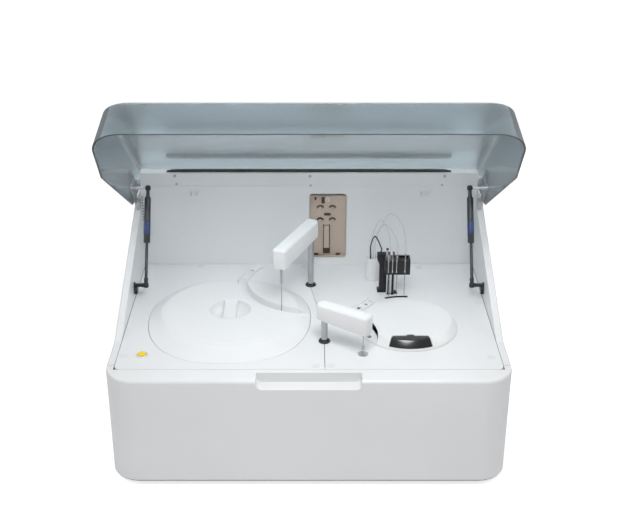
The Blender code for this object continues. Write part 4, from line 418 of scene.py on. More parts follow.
EFFECT_OUTPUTS = (
    ("Colour", "NodeSocketColor"),
    ("Roughness", "NodeSocketFloat"),
    ("Height", "NodeSocketFloat"),
)


def effect_group(name, inputs):
    """A new node group with its own inputs and the outputs that every effect has."""
    group = bpy.data.node_groups.new(name, "ShaderNodeTree")
    for label, kind, value in inputs:
        socket = group.interface.new_socket(name=label, in_out="INPUT", socket_type=kind)
        if value is not None:
            socket.default_value = value
    for label, kind in EFFECT_OUTPUTS:
        group.interface.new_socket(name=label, in_out="OUTPUT", socket_type=kind)
    return group


def mix_colours(nodes, links, factor, first, second):
    mix = nodes.new("ShaderNodeMix")
    mix.data_type = "RGBA"
    links.new(factor, mix.inputs["Factor"])
    links.new(first, mix.inputs["A"])
    links.new(second, mix.inputs["B"])
    return next(socket for socket in mix.outputs if socket.type == "RGBA")


def spread(nodes, links, value, low, high):
    """Map a value from 0 to 1 on to the range between two sockets."""
    span = nodes.new("ShaderNodeMath")
    span.operation = "SUBTRACT"
    links.new(high, span.inputs[0])
    links.new(low, span.inputs[1])
    scaled = nodes.new("ShaderNodeMath")
    scaled.operation = "MULTIPLY_ADD"
    links.new(value, scaled.inputs[0])
    links.new(span.outputs[0], scaled.inputs[1])
    links.new(low, scaled.inputs[2])
    return scaled.outputs[0]


def finish_group(group, given, result, tone, grain):
    """Lead a tone mask and a grain mask to the three outputs that every effect has."""
    nodes, links = group.nodes, group.links
    colour = mix_colours(nodes, links, tone, given.outputs["Colour"], given.outputs["Shade"])
    links.new(colour, result.inputs["Colour"])
    rough = spread(nodes, links, grain, given.outputs["Rough low"], given.outputs["Rough high"])
    links.new(rough, result.inputs["Roughness"])
    links.new(grain, result.inputs["Height"])


def moulded_group():
    """Fine mould texture over slow drifts of tone, as on sprayed and moulded housings."""
    group = bpy.data.node_groups.get("moulded_skin")
    if group:
        return group
    group = effect_group(
        "moulded_skin",
        (
            ("Colour", "NodeSocketColor", None),
            ("Shade", "NodeSocketColor", None),
            ("Grain scale", "NodeSocketFloat", 900.0),
            ("Rough low", "NodeSocketFloat", 0.35),
            ("Rough high", "NodeSocketFloat", 0.45),
        ),
    )
    nodes, links = group.nodes, group.links
    given = nodes.new("NodeGroupInput")
    result = nodes.new("NodeGroupOutput")
    place = nodes.new("ShaderNodeTexCoord")
    drift = nodes.new("ShaderNodeTexNoise")
    drift.inputs["Scale"].default_value = 4.0
    drift.inputs["Detail"].default_value = 3.0
    links.new(place.outputs["Object"], drift.inputs["Vector"])
    grain = nodes.new("ShaderNodeTexNoise")
    grain.inputs["Detail"].default_value = 2.0
    links.new(place.outputs["Object"], grain.inputs["Vector"])
    links.new(given.outputs["Grain scale"], grain.inputs["Scale"])
    tone = nodes.new("ShaderNodeMapRange")
    tone.inputs["From Min"].default_value = 0.35
    tone.inputs["From Max"].default_value = 0.65
    links.new(drift.outputs["Fac"], tone.inputs["Value"])
    finish_group(group, given, result, tone.outputs["Result"], grain.outputs["Fac"])
    return group


def drawn_metal_group():
    """Fine lines drawn along one axis, with slow patches of polish."""
    group = bpy.data.node_groups.get("drawn_metal")
    if group:
        return group
    group = effect_group(
        "drawn_metal",
        (
            ("Colour", "NodeSocketColor", None),
            ("Shade", "NodeSocketColor", None),
            ("Stretch", "NodeSocketVector", (900.0, 900.0, 30.0)),
            ("Rough low", "NodeSocketFloat", 0.18),
            ("Rough high", "NodeSocketFloat", 0.32),
        ),
    )
    nodes, links = group.nodes, group.links
    given = nodes.new("NodeGroupInput")
    result = nodes.new("NodeGroupOutput")
    place = nodes.new("ShaderNodeTexCoord")
    stretched = nodes.new("ShaderNodeVectorMath")
    stretched.operation = "MULTIPLY"
    links.new(place.outputs["Object"], stretched.inputs[0])
    links.new(given.outputs["Stretch"], stretched.inputs[1])
    lines = nodes.new("ShaderNodeTexNoise")
    lines.inputs["Scale"].default_value = 1.0
    lines.inputs["Detail"].default_value = 3.0
    links.new(stretched.outputs["Vector"], lines.inputs["Vector"])
    finish_group(group, given, result, lines.outputs["Fac"], lines.outputs["Fac"])
    return group


def new_material(name):
    material = bpy.data.materials.new(name)
    material.use_nodes = True
    nodes, links = material.node_tree.nodes, material.node_tree.links
    return material, nodes, links, nodes["Principled BSDF"]


def surface_from(name, group, values, bump_distance, bump_strength=0.25):
    """A material whose colour, roughness and bump come from a shared effect."""
    material, nodes, links, shader = new_material(name)
    effect = nodes.new("ShaderNodeGroup")
    effect.node_tree = group
    for socket, value in values.items():
        effect.inputs[socket].default_value = value
    links.new(effect.outputs["Colour"], shader.inputs["Base Color"])
    links.new(effect.outputs["Roughness"], shader.inputs["Roughness"])
    bump = nodes.new("ShaderNodeBump")
    bump.inputs["Strength"].default_value = bump_strength
    bump.inputs["Distance"].default_value = bump_distance
    links.new(effect.outputs["Height"], bump.inputs["Height"])
    links.new(bump.outputs["Normal"], shader.inputs["Normal"])
    return material, shader


def with_alpha(colour):
    return (colour[0], colour[1], colour[2], 1.0)


def shaded(colour, share):
    return (colour[0] * share, colour[1] * share, colour[2] * share, 1.0)


PAINT = {}
BAND_COLOUR = (0.016, 0.040, 0.150)
HOSE_COLOUR = (0.90, 0.91, 0.92)
CLEAR_BUMP = 0.00001
FINE_GRAIN = 1600.0


def moulded(name, colour, rough, grain_scale=900.0, bump=0.00006, shade=0.965, coat=0.0):
    material, shader = surface_from(
        name,
        moulded_group(),
        {
            "Colour": with_alpha(colour),
            "Shade": shaded(colour, shade),
            "Grain scale": grain_scale,
            "Rough low": rough - 0.05,
            "Rough high": rough + 0.05,
        },
        bump,
    )
    if coat:
        shader.inputs["Coat Weight"].default_value = coat
        shader.inputs["Coat Roughness"].default_value = 0.12
    PAINT[name] = material
    return shader


def metal(name, colour, rough, stretch=(900.0, 900.0, 30.0), bump=0.00002):
    material, shader = surface_from(
        name,
        drawn_metal_group(),
        {
            "Colour": with_alpha(colour),
            "Shade": shaded(colour, 0.82),
            "Stretch": stretch,
            "Rough low": rough - 0.06,
            "Rough high": rough + 0.08,
        },
        bump,
    )
    shader.inputs["Metallic"].default_value = 1.0
    PAINT[name] = material
    return shader


def see_through(name, colour, rough, grain_scale, shade, share, index, coat=0.0):
    """A moulded finish that lets a share of the light through, bent by a low index."""
    shader = moulded(name, colour, rough, grain_scale, CLEAR_BUMP, shade, coat)
    shader.inputs["Transmission Weight"].default_value = share
    shader.inputs["IOR"].default_value = index


def make_paints(colours):
    """Every finish of the analyzer, named as the record's slots are."""
    moulded("white_plastic", colours.casing, 0.36, coat=0.15)
    moulded("grey_plastic", colours.inner, 0.5)
    moulded("painted_pan", colours.pan, 0.45, 1400.0)
    moulded("black_plastic", colours.black, 0.42, 700.0, 0.0001, 0.75)
    moulded("rubber", colours.rubber, 0.75, 500.0, 0.00015, 0.8)
    moulded("yellow_plastic", colours.button, 0.3, coat=0.4)
    metal("black_steel", colours.strut, 0.34).inputs["Metallic"].default_value = 0.6
    metal("steel", colours.steel, 0.2)
    metal("plated_sheet", colours.plate, 0.34, (40.0, 700.0, 700.0))
    moulded("window_black", colours.black, 0.22, 700.0, 0.00004, 0.8, 0.3)
    moulded("soft_white", shaded(colours.casing, 0.92), 0.4)
    moulded("cream", shaded(colours.casing, 0.95), 0.4)
    moulded("dark_grey", shaded(colours.inner, 0.16), 0.5)
    # Dark grey for the strips in the chamber's seams: painted shade where the gaps fall dark.
    moulded("seam_shade", shaded(colours.inner, 0.30), 0.7)
    moulded("blue_band", BAND_COLOUR, 0.35)
    moulded("smoked_edge", shaded(colours.lid, 0.06), 0.3, FINE_GRAIN, CLEAR_BUMP, 0.8)
    see_through("hose", HOSE_COLOUR, 0.08, 1200.0, 0.97, 0.9, 1.15)
    see_through("smoked_acrylic", shaded(colours.lid, 1.04), 0.22, FINE_GRAIN, 0.97, 0.97, 1.2, 0.4)
    see_through("smoked_lining", colours.lid, 0.08, FINE_GRAIN, 0.97, 1.0, 1.1)
    # A darker copy of the lid's smoke for its sideways faces: painted dark reflection and shade on
    # the sides.
    see_through("smoked_sides_painted_dark", shaded(colours.lid, 0.24), 0.30, FINE_GRAIN, 0.9, 0.55, 1.2, 0.3)
    see_through("amber_acrylic", colours.amber, 0.12, FINE_GRAIN, 0.95, 1.0, 1.15)
    see_through("clear_plastic", colours.clear, 0.12, 1200.0, 0.95, 0.75, 1.25)


def length(name, description, default, least):
    return bpy.props.FloatProperty(
        name=name, description=description, default=default, min=least, unit="LENGTH"
    )


def tint(name, description, default):
    return bpy.props.FloatVectorProperty(
        name=name, description=description, default=default, subtype="COLOR"
    )


class AnalyzerSizes(bpy.types.PropertyGroup):
    """Sizes of the small details that a user would change."""

    screw_radius: length("Screw radius", "Radius of the chamber's screw heads", 0.0034, 0.0005)
    cap_radius: length("Plug radius", "Radius of the flush plugs in the deck", 0.0080, 0.001)


class AnalyzerColours(bpy.types.PropertyGroup):
    """Colours of the finishes."""

    casing: tint("Casing", "White of the mouldings", (0.76, 0.765, 0.77))
    inner: tint("Inner parts", "Grey of wells and blocks", (0.46, 0.47, 0.48))
    pan: tint("Base pan", "Paint of the base", (0.30, 0.31, 0.32))
    black: tint("Black plastic", "Wash station and window", (0.012, 0.012, 0.013))
    rubber: tint("Rubber", "Feet and seal", (0.03, 0.03, 0.032))
    button: tint("Button", "Yellow of the button", (0.86, 0.62, 0.02))
    strut: tint("Struts", "Black of the gas struts", (0.045, 0.048, 0.052))
    steel: tint("Steel", "Columns, needles and rails", (0.50, 0.51, 0.52))
    plate: tint("Plated sheet", "Tabs inside the lid", (0.62, 0.63, 0.64))
    lid: tint("Lid", "Smoke grey of the lid", (0.80, 0.885, 0.925))
    amber: tint("Amber window", "Tint of the electrode window", (0.85, 0.77, 0.70))
    clear: tint("Clear plastic", "Cuvettes and the tube on the wash head", (0.86, 0.87, 0.88))


def sizes():
    return bpy.context.scene.analyzer_sizes


def colours():
    return bpy.context.scene.analyzer_colours


# Stage

CAMERA_PLACE = (0.0, -2.001, 1.2923)
CAMERA_PITCH = math.radians(64.27)
CAMERA_LENS = 61.26
CAMERA_SENSOR = 36.0
CAMERA_SHIFT = 0.0158
SKY_COLOUR = (0.97, 0.985, 1.0, 1.0)
SKY_LEVEL = 0.40
FLOOR_SIZE = 14.0
FLOOR_TONES = (0.86, 0.88)
FLOOR_GLOW = 0.70
LAMPS = (
    ("key_lamp", (0.12, -0.70, 1.25), (0.0, -0.18, 0.22), 0.5, 8.6),
    ("fill_lamp", (-1.3, -0.5, 0.9), (-0.3, 0.0, 0.25), 0.9, 4.0),
    ("edge_lamp", (1.3, -0.2, 0.8), (0.38, -0.2, 0.2), 0.7, 2.5),
)


def look_at(light, place):
    light.rotation_euler = (Vector(place) - light.location).to_track_quat("-Z", "Y").to_euler()


def add_lamp(name, location, target, size, power):
    nothing_selected()
    bpy.ops.object.light_add(type="AREA", location=location)
    lamp = bpy.context.object
    lamp.name = name
    lamp.data.shape = "DISK"
    lamp.data.size = size
    lamp.data.energy = power
    look_at(lamp, target)
    return lamp


def seen_rays(nodes, links):
    """One for the rays of the camera, straight or through clear plastic, else zero."""
    ray = nodes.new("ShaderNodeLightPath")
    either = nodes.new("ShaderNodeMath")
    either.operation = "MAXIMUM"
    links.new(ray.outputs["Is Camera Ray"], either.inputs[0])
    links.new(ray.outputs["Is Transmission Ray"], either.inputs[1])
    return either.outputs[0]


def plain_world(level):
    world = bpy.data.worlds.new("studio")
    bpy.context.scene.world = world
    world.use_nodes = True
    nodes, links = world.node_tree.nodes, world.node_tree.links
    nodes.clear()
    output = nodes.new("ShaderNodeOutputWorld")
    lit = nodes.new("ShaderNodeBackground")
    lit.inputs["Color"].default_value = SKY_COLOUR
    lit.inputs["Strength"].default_value = level
    seen = nodes.new("ShaderNodeBackground")
    seen.inputs["Color"].default_value = (1.0, 1.0, 1.0, 1.0)
    seen.inputs["Strength"].default_value = 1.0
    mix = nodes.new("ShaderNodeMixShader")
    links.new(seen_rays(nodes, links), mix.inputs["Fac"])
    links.new(lit.outputs[0], mix.inputs[1])
    links.new(seen.outputs[0], mix.inputs[2])
    links.new(mix.outputs[0], output.inputs["Surface"])


def floor_paint():
    material, nodes, links, shader = new_material("studio_floor")
    place = nodes.new("ShaderNodeTexCoord")
    noise = nodes.new("ShaderNodeTexNoise")
    noise.inputs["Scale"].default_value = 3.0
    links.new(place.outputs["Object"], noise.inputs["Vector"])
    tone = nodes.new("ShaderNodeMapRange")
    tone.inputs["To Min"].default_value, tone.inputs["To Max"].default_value = FLOOR_TONES
    links.new(noise.outputs["Fac"], tone.inputs["Value"])
    links.new(tone.outputs["Result"], shader.inputs["Base Color"])
    shader.inputs["Roughness"].default_value = 0.9
    glow = nodes.new("ShaderNodeMath")
    glow.operation = "MULTIPLY"
    links.new(seen_rays(nodes, links), glow.inputs[0])
    glow.inputs[1].default_value = FLOOR_GLOW
    shader.inputs["Emission Color"].default_value = (1.0, 1.0, 1.0, 1.0)
    links.new(glow.outputs[0], shader.inputs["Emission Strength"])
    return material


class ANALYZER_OT_stage(bpy.types.Operator):
    """Set up the camera, the lamps, the world and the floor"""

    bl_idname = "analyzer.stage"
    bl_label = "Stage"

    def execute(self, context):
        nothing_selected()
        bpy.ops.object.camera_add(location=CAMERA_PLACE, rotation=(CAMERA_PITCH, 0.0, 0.0))
        camera = context.object
        camera.name = "camera"
        camera.data.lens = CAMERA_LENS
        camera.data.sensor_width = CAMERA_SENSOR
        camera.data.shift_x = CAMERA_SHIFT
        context.scene.camera = camera
        plain_world(SKY_LEVEL)
        for lamp in LAMPS:
            add_lamp(*lamp)
        nothing_selected()
        bpy.ops.mesh.primitive_plane_add(size=FLOOR_SIZE)
        floor = context.object
        floor.name = "studio_floor"
        floor.data.materials.append(floor_paint())
        context.scene.view_settings.view_transform = "Standard"
        return {"FINISHED"}


class ANALYZER_OT_paints(bpy.types.Operator):
    """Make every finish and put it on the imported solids"""

    bl_idname = "analyzer.paints"
    bl_label = "Finishes"

    def execute(self, context):
        make_paints(colours())
        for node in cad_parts.values():
            for slot in node.material_slots:
                slot.material = PAINT[slot.material.name.split(".")[0]]
        return {"FINISHED"}


# Lid

LID_OPENING = 53.0
LID_PIVOT = (0.0, 0.486, 0.152)
LID_TALL = 0.300
LID_WALL = 0.0035
LID_BACK_RISE = 0.0135
LID_LEAN = math.radians(27.0)
LID_BACK_Y = 0.554
LID_BACK_HEIGHT = 0.261
LID_TIP = (0.464, 0.1327)
RIM_BEND_Y = 0.143
RIM_GAP = 0.001
CORNER_RADIUS = 0.055
BROW = (0.0557, 0.1093)
BROW_RADIUS = 0.011


def lid_envelope():
    """The lid as a solid, drawn shut: leaning front, round corners, sloping roof."""
    lid = new_block("lid", at(-HALF_WIDTH, 0.0, 0.0), at(HALF_WIDTH, LID_BACK_Y, LID_TALL))
    with editing(lid):
        pick("EDGE", lambda middle, way: abs(way.z) > 0.9 and middle.y < FRONT + 0.01)
        round_picked(CORNER_RADIUS, 14)
        front = FRONT + CORNER_RADIUS + NEAR
        pick("VERT", lambda place, way: place.y < front and place.z > DECK + LID_TALL / 2)
        bpy.ops.transform.translate(value=(0.0, LID_TALL * math.tan(LID_LEAN), 0.0))
        roof = (LID_BACK_HEIGHT - BROW[1]) / (LID_BACK_Y - BROW[0])
        bpy.ops.mesh.select_all(action="SELECT")
        bpy.ops.mesh.bisect(
            plane_co=at(0.0, *BROW), plane_no=(0.0, -roof, 1.0), use_fill=True, clear_outer=True
        )
        side = Vector((0.0, -roof, 1.0)).normalized()
        brow = at(0.0, *BROW)
        pick(
            "EDGE",
            lambda middle, way: abs((middle - brow).dot(side)) < TOUCHING
            and middle.y < FRONT + LID_BACK_Y - NEAR,
        )
        round_picked(BROW_RADIUS, 6)
    return lid


class ANALYZER_OT_lid(bpy.types.Operator):
    """Model the smoked lid, swung open"""

    bl_idname = "analyzer.lid"
    bl_label = "Lid"

    def execute(self, context):
        lid = lid_envelope()
        far = 0.60
        back_rim = LID_BACK_HEIGHT - LID_BACK_RISE
        outline = (
            (-0.05, -0.05),
            (far, -0.05),
            (far, back_rim),
            (LID_BACK_Y - 0.003, back_rim),
            LID_TIP,
            (RIM_BEND_Y, RIM_GAP),
            (-0.05, RIM_GAP),
        )
        below = raised("below", [[at(x, y, z) for y, z in outline] for x in (-0.5, 0.5)])
        carve(lid, below)
        with editing(lid):
            pick("FACE", lambda middle, way: way.z < -0.3)
            bpy.ops.mesh.delete(type="FACE")
        only(lid)
        wall = lid.modifiers.new("wall", "SOLIDIFY")
        wall.thickness = LID_WALL
        wall.offset = -1.0
        wall.use_even_offset = True
        wall.use_rim = True
        wall.material_offset = 1
        wall.material_offset_rim = 2
        for name in ("smoked_acrylic", "smoked_lining", "smoked_edge", "smoked_sides_painted_dark"):
            lid.data.materials.append(PAINT[name])
        bpy.ops.object.modifier_apply(modifier=wall.name)
        # Faces turned sideways take the darker smoke: painted dark reflection and shade on the
        # lid's sides and round corners.
        for face in lid.data.polygons:
            if face.material_index == 0 and abs(face.normal.x) > 0.55:
                face.material_index = 3
        rim = DECK + RIM_GAP
        with editing(lid):
            pick("VERT", lambda place, way: place.z < rim)
            move_picked(lambda place: Vector((place.x, place.y, rim)))
        only(lid)
        bpy.ops.object.shade_smooth_by_angle(angle=math.radians(30))
        turn_about(lid, "X", -LID_OPENING, at(*LID_PIVOT))
        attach(lid, "lid")
        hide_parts("lid_shell")
        return {"FINISHED"}


# Carousel cover

COVER_HALF = 0.163
COVER_CENTRE_Y = 0.2518
COVER_FRONT_REACH = 0.191
COVER_SQUARENESS = 2.35
COVER_STEPS = 144
DISC_RADIUS = 0.140
SKIRT_SHARES = (
    (0.012, 0.0004),
    (0.10, 0.0010),
    (0.25, 0.0022),
    (0.42, 0.0040),
    (0.60, 0.0064),
    (0.78, 0.0091),
    (0.92, 0.0112),
    (1.00, 0.0122),
)
DISC_PROFILE = (
    (0.1396, 0.0128),
    (0.1386, 0.0133),
    (0.1300, 0.0139),
    (0.1050, 0.0150),
    (0.0800, 0.0158),
    (0.0600, 0.0163),
    (0.0470, 0.0165),
)
DISH_PROFILE = (
    (0.0240, -0.0012),
    (0.0290, -0.0004),
    (0.0335, 0.0016),
    (0.0372, 0.0046),
    (0.0398, 0.0084),
    (0.0410, 0.0120),
    (0.0414, 0.0146),
    (0.0420, 0.0157),
    (0.0432, 0.0163),
    (0.0446, 0.0166),
    (0.0447, 0.0300),
)
DISC_RIM = 0.0130
GROOVE_HALF = 0.0105
GROOVE_START = 160.0
GROOVE_END = 268.0
GROOVE_FLOOR = 0.0010


def cover_outline(inset=0.0):
    """The seam round the cover: a half circle behind, a squarer half in front."""
    outline = []
    for step in range(COVER_STEPS):
        turn = math.tau * step / COVER_STEPS
        x, y = math.cos(turn), math.sin(turn)
        reach = COVER_HALF - inset
        if y < 0:
            power = 2 / COVER_SQUARENESS
            x = math.copysign(abs(x) ** power, x)
            y = -(abs(y) ** power)
            reach = COVER_FRONT_REACH - inset
        outline.append((CAROUSEL_AXIS[0] + (COVER_HALF - inset) * x, COVER_CENTRE_Y + reach * y))
    return outline


def disc_outline(radius):
    turns = [math.tau * step / COVER_STEPS for step in range(COVER_STEPS)]
    x, y = CAROUSEL_AXIS
    return [(x + radius * math.cos(turn), y + radius * math.sin(turn)) for turn in turns]


def between(value, low, high, from_height, to_height):
    share = min(max((value - low) / (high - low), 0.0), 1.0)
    return from_height + (to_height - from_height) * share


def cover_height(x, y):
    """Height of the cover's top over the deck at a plan place, near enough for the groove."""
    reach = math.hypot(x - CAROUSEL_AXIS[0], y - CAROUSEL_AXIS[1])
    if reach > DISC_RADIUS:
        return between(reach, DISC_RADIUS, COVER_HALF, SKIRT_SHARES[-1][1], SKIRT_SHARES[0][1])
    return between(reach, DISC_PROFILE[-1][0], DISC_RADIUS, DISC_PROFILE[-1][1], DISC_RIM)


def groove_cutter():
    """A curved trough whose lips flare where they meet the cover's top."""
    flare = 0.0009
    sections = []
    steps = 72
    for step in range(steps + 1):
        turn = GROOVE_START + (GROOVE_END - GROOVE_START) * step / steps
        x, y = polar(SAMPLE_AXIS, SAMPLE_REACH, turn)
        top = max(cover_height(x, y), GROOVE_FLOOR + 3 * flare)
        half = GROOVE_HALF
        shape = (
            (-half + 2 * flare, GROOVE_FLOOR),
            (-half + 0.5 * flare, GROOVE_FLOOR + 0.5 * flare),
            (-half, GROOVE_FLOOR + 2 * flare),
            (-half, top - flare),
            (-half - 0.3 * flare, top - 0.3 * flare),
            (-half - flare, top),
            (-half - flare, ABOVE),
            (half + flare, ABOVE),
            (half + flare, top),
            (half + 0.3 * flare, top - 0.3 * flare),
            (half, top - flare),
            (half, GROOVE_FLOOR + 2 * flare),
            (half - 0.5 * flare, GROOVE_FLOOR + 0.5 * flare),
            (half - 2 * flare, GROOVE_FLOOR),
        )
        loop = []
        for across, height in shape:
            place = polar(SAMPLE_AXIS, SAMPLE_REACH + across, turn)
            loop.append(at(*place, height))
        sections.append(loop)
    return raised("groove", sections)


class ANALYZER_OT_carousel_cover(bpy.types.Operator):
    """Model the moulded carousel cover with its dish, finger bar and needle groove"""

    bl_idname = "analyzer.carousel_cover"
    bl_label = "Carousel cover"

    def execute(self, context):
        edge = cover_outline()
        disc = disc_outline(DISC_RADIUS)
        sections = [[at(x, y, -0.004) for x, y in edge], [at(x, y, -0.0005) for x, y in edge]]
        for share, height in SKIRT_SHARES:
            loop = []
            for (edge_x, edge_y), (disc_x, disc_y) in zip(edge, disc):
                x = edge_x + (disc_x - edge_x) * share
                y = edge_y + (disc_y - edge_y) * share
                loop.append(at(x, y, height))
            sections.append(loop)
        for radius, height in DISC_PROFILE:
            sections.append([at(x, y, height) for x, y in disc_outline(radius)])
        cover = raised("carousel_cover_shell", sections)
        carve(cover, turned("dish", CAROUSEL_AXIS, DISH_PROFILE, 96))
        x, y = CAROUSEL_AXIS
        bar = finger_bar(x, y)
        weld(cover, bar)
        carve(cover, groove_cutter())
        hole = polar(SAMPLE_AXIS, SAMPLE_REACH, SAMPLE_REST)
        carve(cover, turned("needle_hole", hole, ((0.0042, -0.010), (0.0042, 0.02)), 32))
        finish_piece(cover, WHITE, "carousel_cover", ("carousel_cover",), 28.0)
        return {"FINISHED"}


def finger_bar(x, y):
    """The bar across the dish: narrower in its middle, with round top edges."""
    reach = 0.0428
    sections = []
    heights = ((0.0, -0.003), (0.0, 0.0125), (0.0005, 0.0142), (0.0016, 0.0155), (0.0032, 0.0161))
    for inset, height in heights:
        loop = []
        for side in (1, -1):
            for step in range(13):
                share = step / 12 * 2 - 1
                half = 0.0130 + 0.0022 * share * share - inset
                loop.append(at(x + side * half, y + side * share * reach, height))
        sections.append(loop)
    return raised("finger_bar", sections)


# Reaction cover

DOME_PROFILE = (
    (0.0920, -0.0027),
    (0.0920, 0.0003),
    (0.1000, 0.0003),
    (0.1000, 0.0030),
    (0.0992, 0.0046),
    (0.0965, 0.0086),
    (0.0930, 0.0131),
    (0.0900, 0.0166),
    (0.0884, 0.0184),
    (0.0868, 0.0195),
    (0.0846, 0.0201),
    (0.0700, 0.0205),
    (0.0400, 0.0209),
    (0.0100, 0.0210),
)
DOME_INSIDE = (
    (0.0890, -0.0080),
    (0.0890, 0.0035),
    (0.0862, 0.0150),
    (0.0845, 0.0170),
    (0.0830, 0.0176),
    (0.0100, 0.0180),
)
WINDOW_TOP_HALF = 0.034
WINDOW_BOTTOM_HALF = 0.048
WINDOW_BACK = 0.1335
WINDOW_FRONT = 0.101
WINDOW_WIDE = 0.105
RELIEF_FLOOR = 0.0045
MIXING_TURN = MIXER_REST + 40.8


def window_outline(shrunk):
    """The black window's plan: wider in front, with a round notch in its back edge."""
    x = DOME_CENTRE[0]
    slope = (WINDOW_BOTTOM_HALF - WINDOW_TOP_HALF) / (WINDOW_BACK - WINDOW_WIDE)
    front_half = WINDOW_BOTTOM_HALF + slope * (WINDOW_WIDE - WINDOW_FRONT)
    back = WINDOW_BACK - shrunk
    outline = [(x - front_half + shrunk, WINDOW_FRONT), (x + front_half - shrunk, WINDOW_FRONT)]
    outline.append((x + WINDOW_TOP_HALF - shrunk, back))
    for turn in range(0, 181, 20):
        way = math.radians(turn)
        outline.append((x + (0.0088 - shrunk) * math.cos(way), back + 0.0042 * math.sin(way)))
    outline.append((x - WINDOW_TOP_HALF + shrunk, back))
    return outline


class ANALYZER_OT_reaction_cover(bpy.types.Operator):
    """Model the dome over the cuvette ring and its black window"""

    bl_idname = "analyzer.reaction_cover"
    bl_label = "Reaction cover"

    def execute(self, context):
        dome = turned("reaction_dome", DOME_CENTRE, DOME_PROFILE, 128)
        carve(dome, turned("inside", DOME_CENTRE, DOME_INSIDE, 128))
        carve(dome, upright("window_hole", window_outline(0.0), RELIEF_FLOOR, ABOVE))
        relief = arc_band(MIXER_AXIS, 0.060, 0.104, -16.0, 36.0, 32)
        shelf = upright("shelf", relief, 0.0015, RELIEF_FLOOR)
        within = ((0.0985, -0.004), (0.0985, 0.0030), (0.0830, 0.0168))
        keep_common(shelf, turned("within", DOME_CENTRE, within, 128))
        weld(dome, shelf)
        carve(dome, upright("relief", relief, RELIEF_FLOOR, ABOVE))
        hole = polar(MIXER_AXIS, MIXER_REACH, MIXING_TURN)
        carve(dome, turned("mixing_hole", hole, ((0.0060, -OVERRUN), (0.0060, ABOVE)), 32))
        finish_piece(dome, WHITE, "reaction_cover", ("reaction_cover",), 30.0)
        below = [(radius - 0.0012, height - 0.0012) for radius, height in DOME_PROFILE[3:]]
        window = turned("cuvette_window_pane", DOME_CENTRE, [(0.0988, 0.0006), *below], 128)
        keep_common(window, upright("pane", window_outline(0.0004), 0.0050, ABOVE))
        finish_piece(window, "window_black", "reaction_cover", ("cuvette_window",), 30.0)
        return {"FINISHED"}


# Arms

ARM_TAIL = 0.014
ARM_NOSE = 0.0135
ARM_HALF = 0.014
TAIL_LIFT = 0.006
TAIL_ROUND = 0.0105
NOSE_ROUND = 0.0058


def arm_shape(name, axis, reach, low, high, bearing):
    """A long moulded arm: round tail, softer nose, its underside lower towards the nose."""
    x, y = axis
    left, right = x - ARM_TAIL, x + reach + ARM_NOSE
    arm = new_block(name, at(left, y - ARM_HALF, low), at(right, y + ARM_HALF, high))
    with editing(arm):
        pick("VERT", lambda place, way: place.x < left + NEAR and place.z < DECK + low + NEAR)
        bpy.ops.transform.translate(value=(0.0, 0.0, TAIL_LIFT))
        pick("EDGE", lambda middle, way: abs(way.z) > 0.9 and middle.x < left + NEAR)
        round_picked(TAIL_ROUND, 8)
        pick("EDGE", lambda middle, way: abs(way.z) > 0.9 and middle.x > right - NEAR)
        round_picked(NOSE_ROUND, 6)
        pick("EDGE", lambda middle, way: middle.z > DECK + high - TOUCHING and abs(way.z) < 0.1)
        round_picked(NOSE_ROUND, 6)
        pick("EDGE", lambda middle, way: middle.z < DECK + low + 0.0075 and abs(way.z) < 0.2)
        round_picked(0.0014, 2)
    turn_about(arm, "Z", bearing, at(x, y, 0.0))
    return arm


def column_piece(name, axis, top, body, node):
    x, y = axis
    profile = ((0.0058, -0.085), (0.0063, -0.0845), (0.0063, top))
    column = turned(name, (x, y), profile, 48)
    finish_piece(column, "steel", body, (node,))


COLLAR_PROFILE = (
    (0.0115, 0.0003),
    (0.0115, 0.0016),
    (0.0108, 0.0024),
    (0.0100, 0.0040),
    (0.0096, 0.0043),
)
COLLAR_BORE = ((0.0066, -0.01), (0.0066, 0.0028), (0.0074, 0.0044), (0.0078, 0.01))
NEEDLE_PROFILE = (
    (0.0003, 0.0055),
    (0.0009, 0.0080),
    (0.0009, 0.0675),
    (0.0014, 0.0685),
    (0.0022, 0.0705),
    (0.0023, 0.0720),
    (0.0023, 0.1000),
    (0.0029, 0.1003),
    (0.0029, 0.1080),
)
PADDLE_PROFILE = (
    (0.0008, 0.0130),
    (0.0010, 0.0145),
    (0.0010, 0.0360),
    (0.0019, 0.0365),
    (0.0019, 0.0420),
    (0.0024, 0.0423),
    (0.0024, 0.0460),
)


def collar_piece(name, axis, node):
    collar = turned(name, axis, COLLAR_PROFILE, 48)
    carve(collar, turned("bore", axis, COLLAR_BORE, 48))
    finish_piece(collar, "black_plastic", "chassis", (node,))


class ANALYZER_OT_sample_arm(bpy.types.Operator):
    """Model the sample arm with its column, collar and needle"""

    bl_idname = "analyzer.sample_arm"
    bl_label = "Sample arm"

    def execute(self, context):
        arm = arm_shape("sample_arm_body", SAMPLE_AXIS, SAMPLE_REACH, 0.108, 0.150, SAMPLE_REST)
        finish_piece(arm, WHITE, "sample_arm", ("sample_arm",), 30.0)
        column_piece("sample_column_rod", SAMPLE_AXIS, 0.122, "sample_arm", "sample_column")
        collar_piece("sample_column_collar", SAMPLE_AXIS, "sample_collar")
        place = polar(SAMPLE_AXIS, SAMPLE_REACH, SAMPLE_REST)
        probe = turned("sample_needle", place, NEEDLE_PROFILE, 24)
        finish_piece(probe, "steel", "sample_arm", ("sample_probe",))
        return {"FINISHED"}


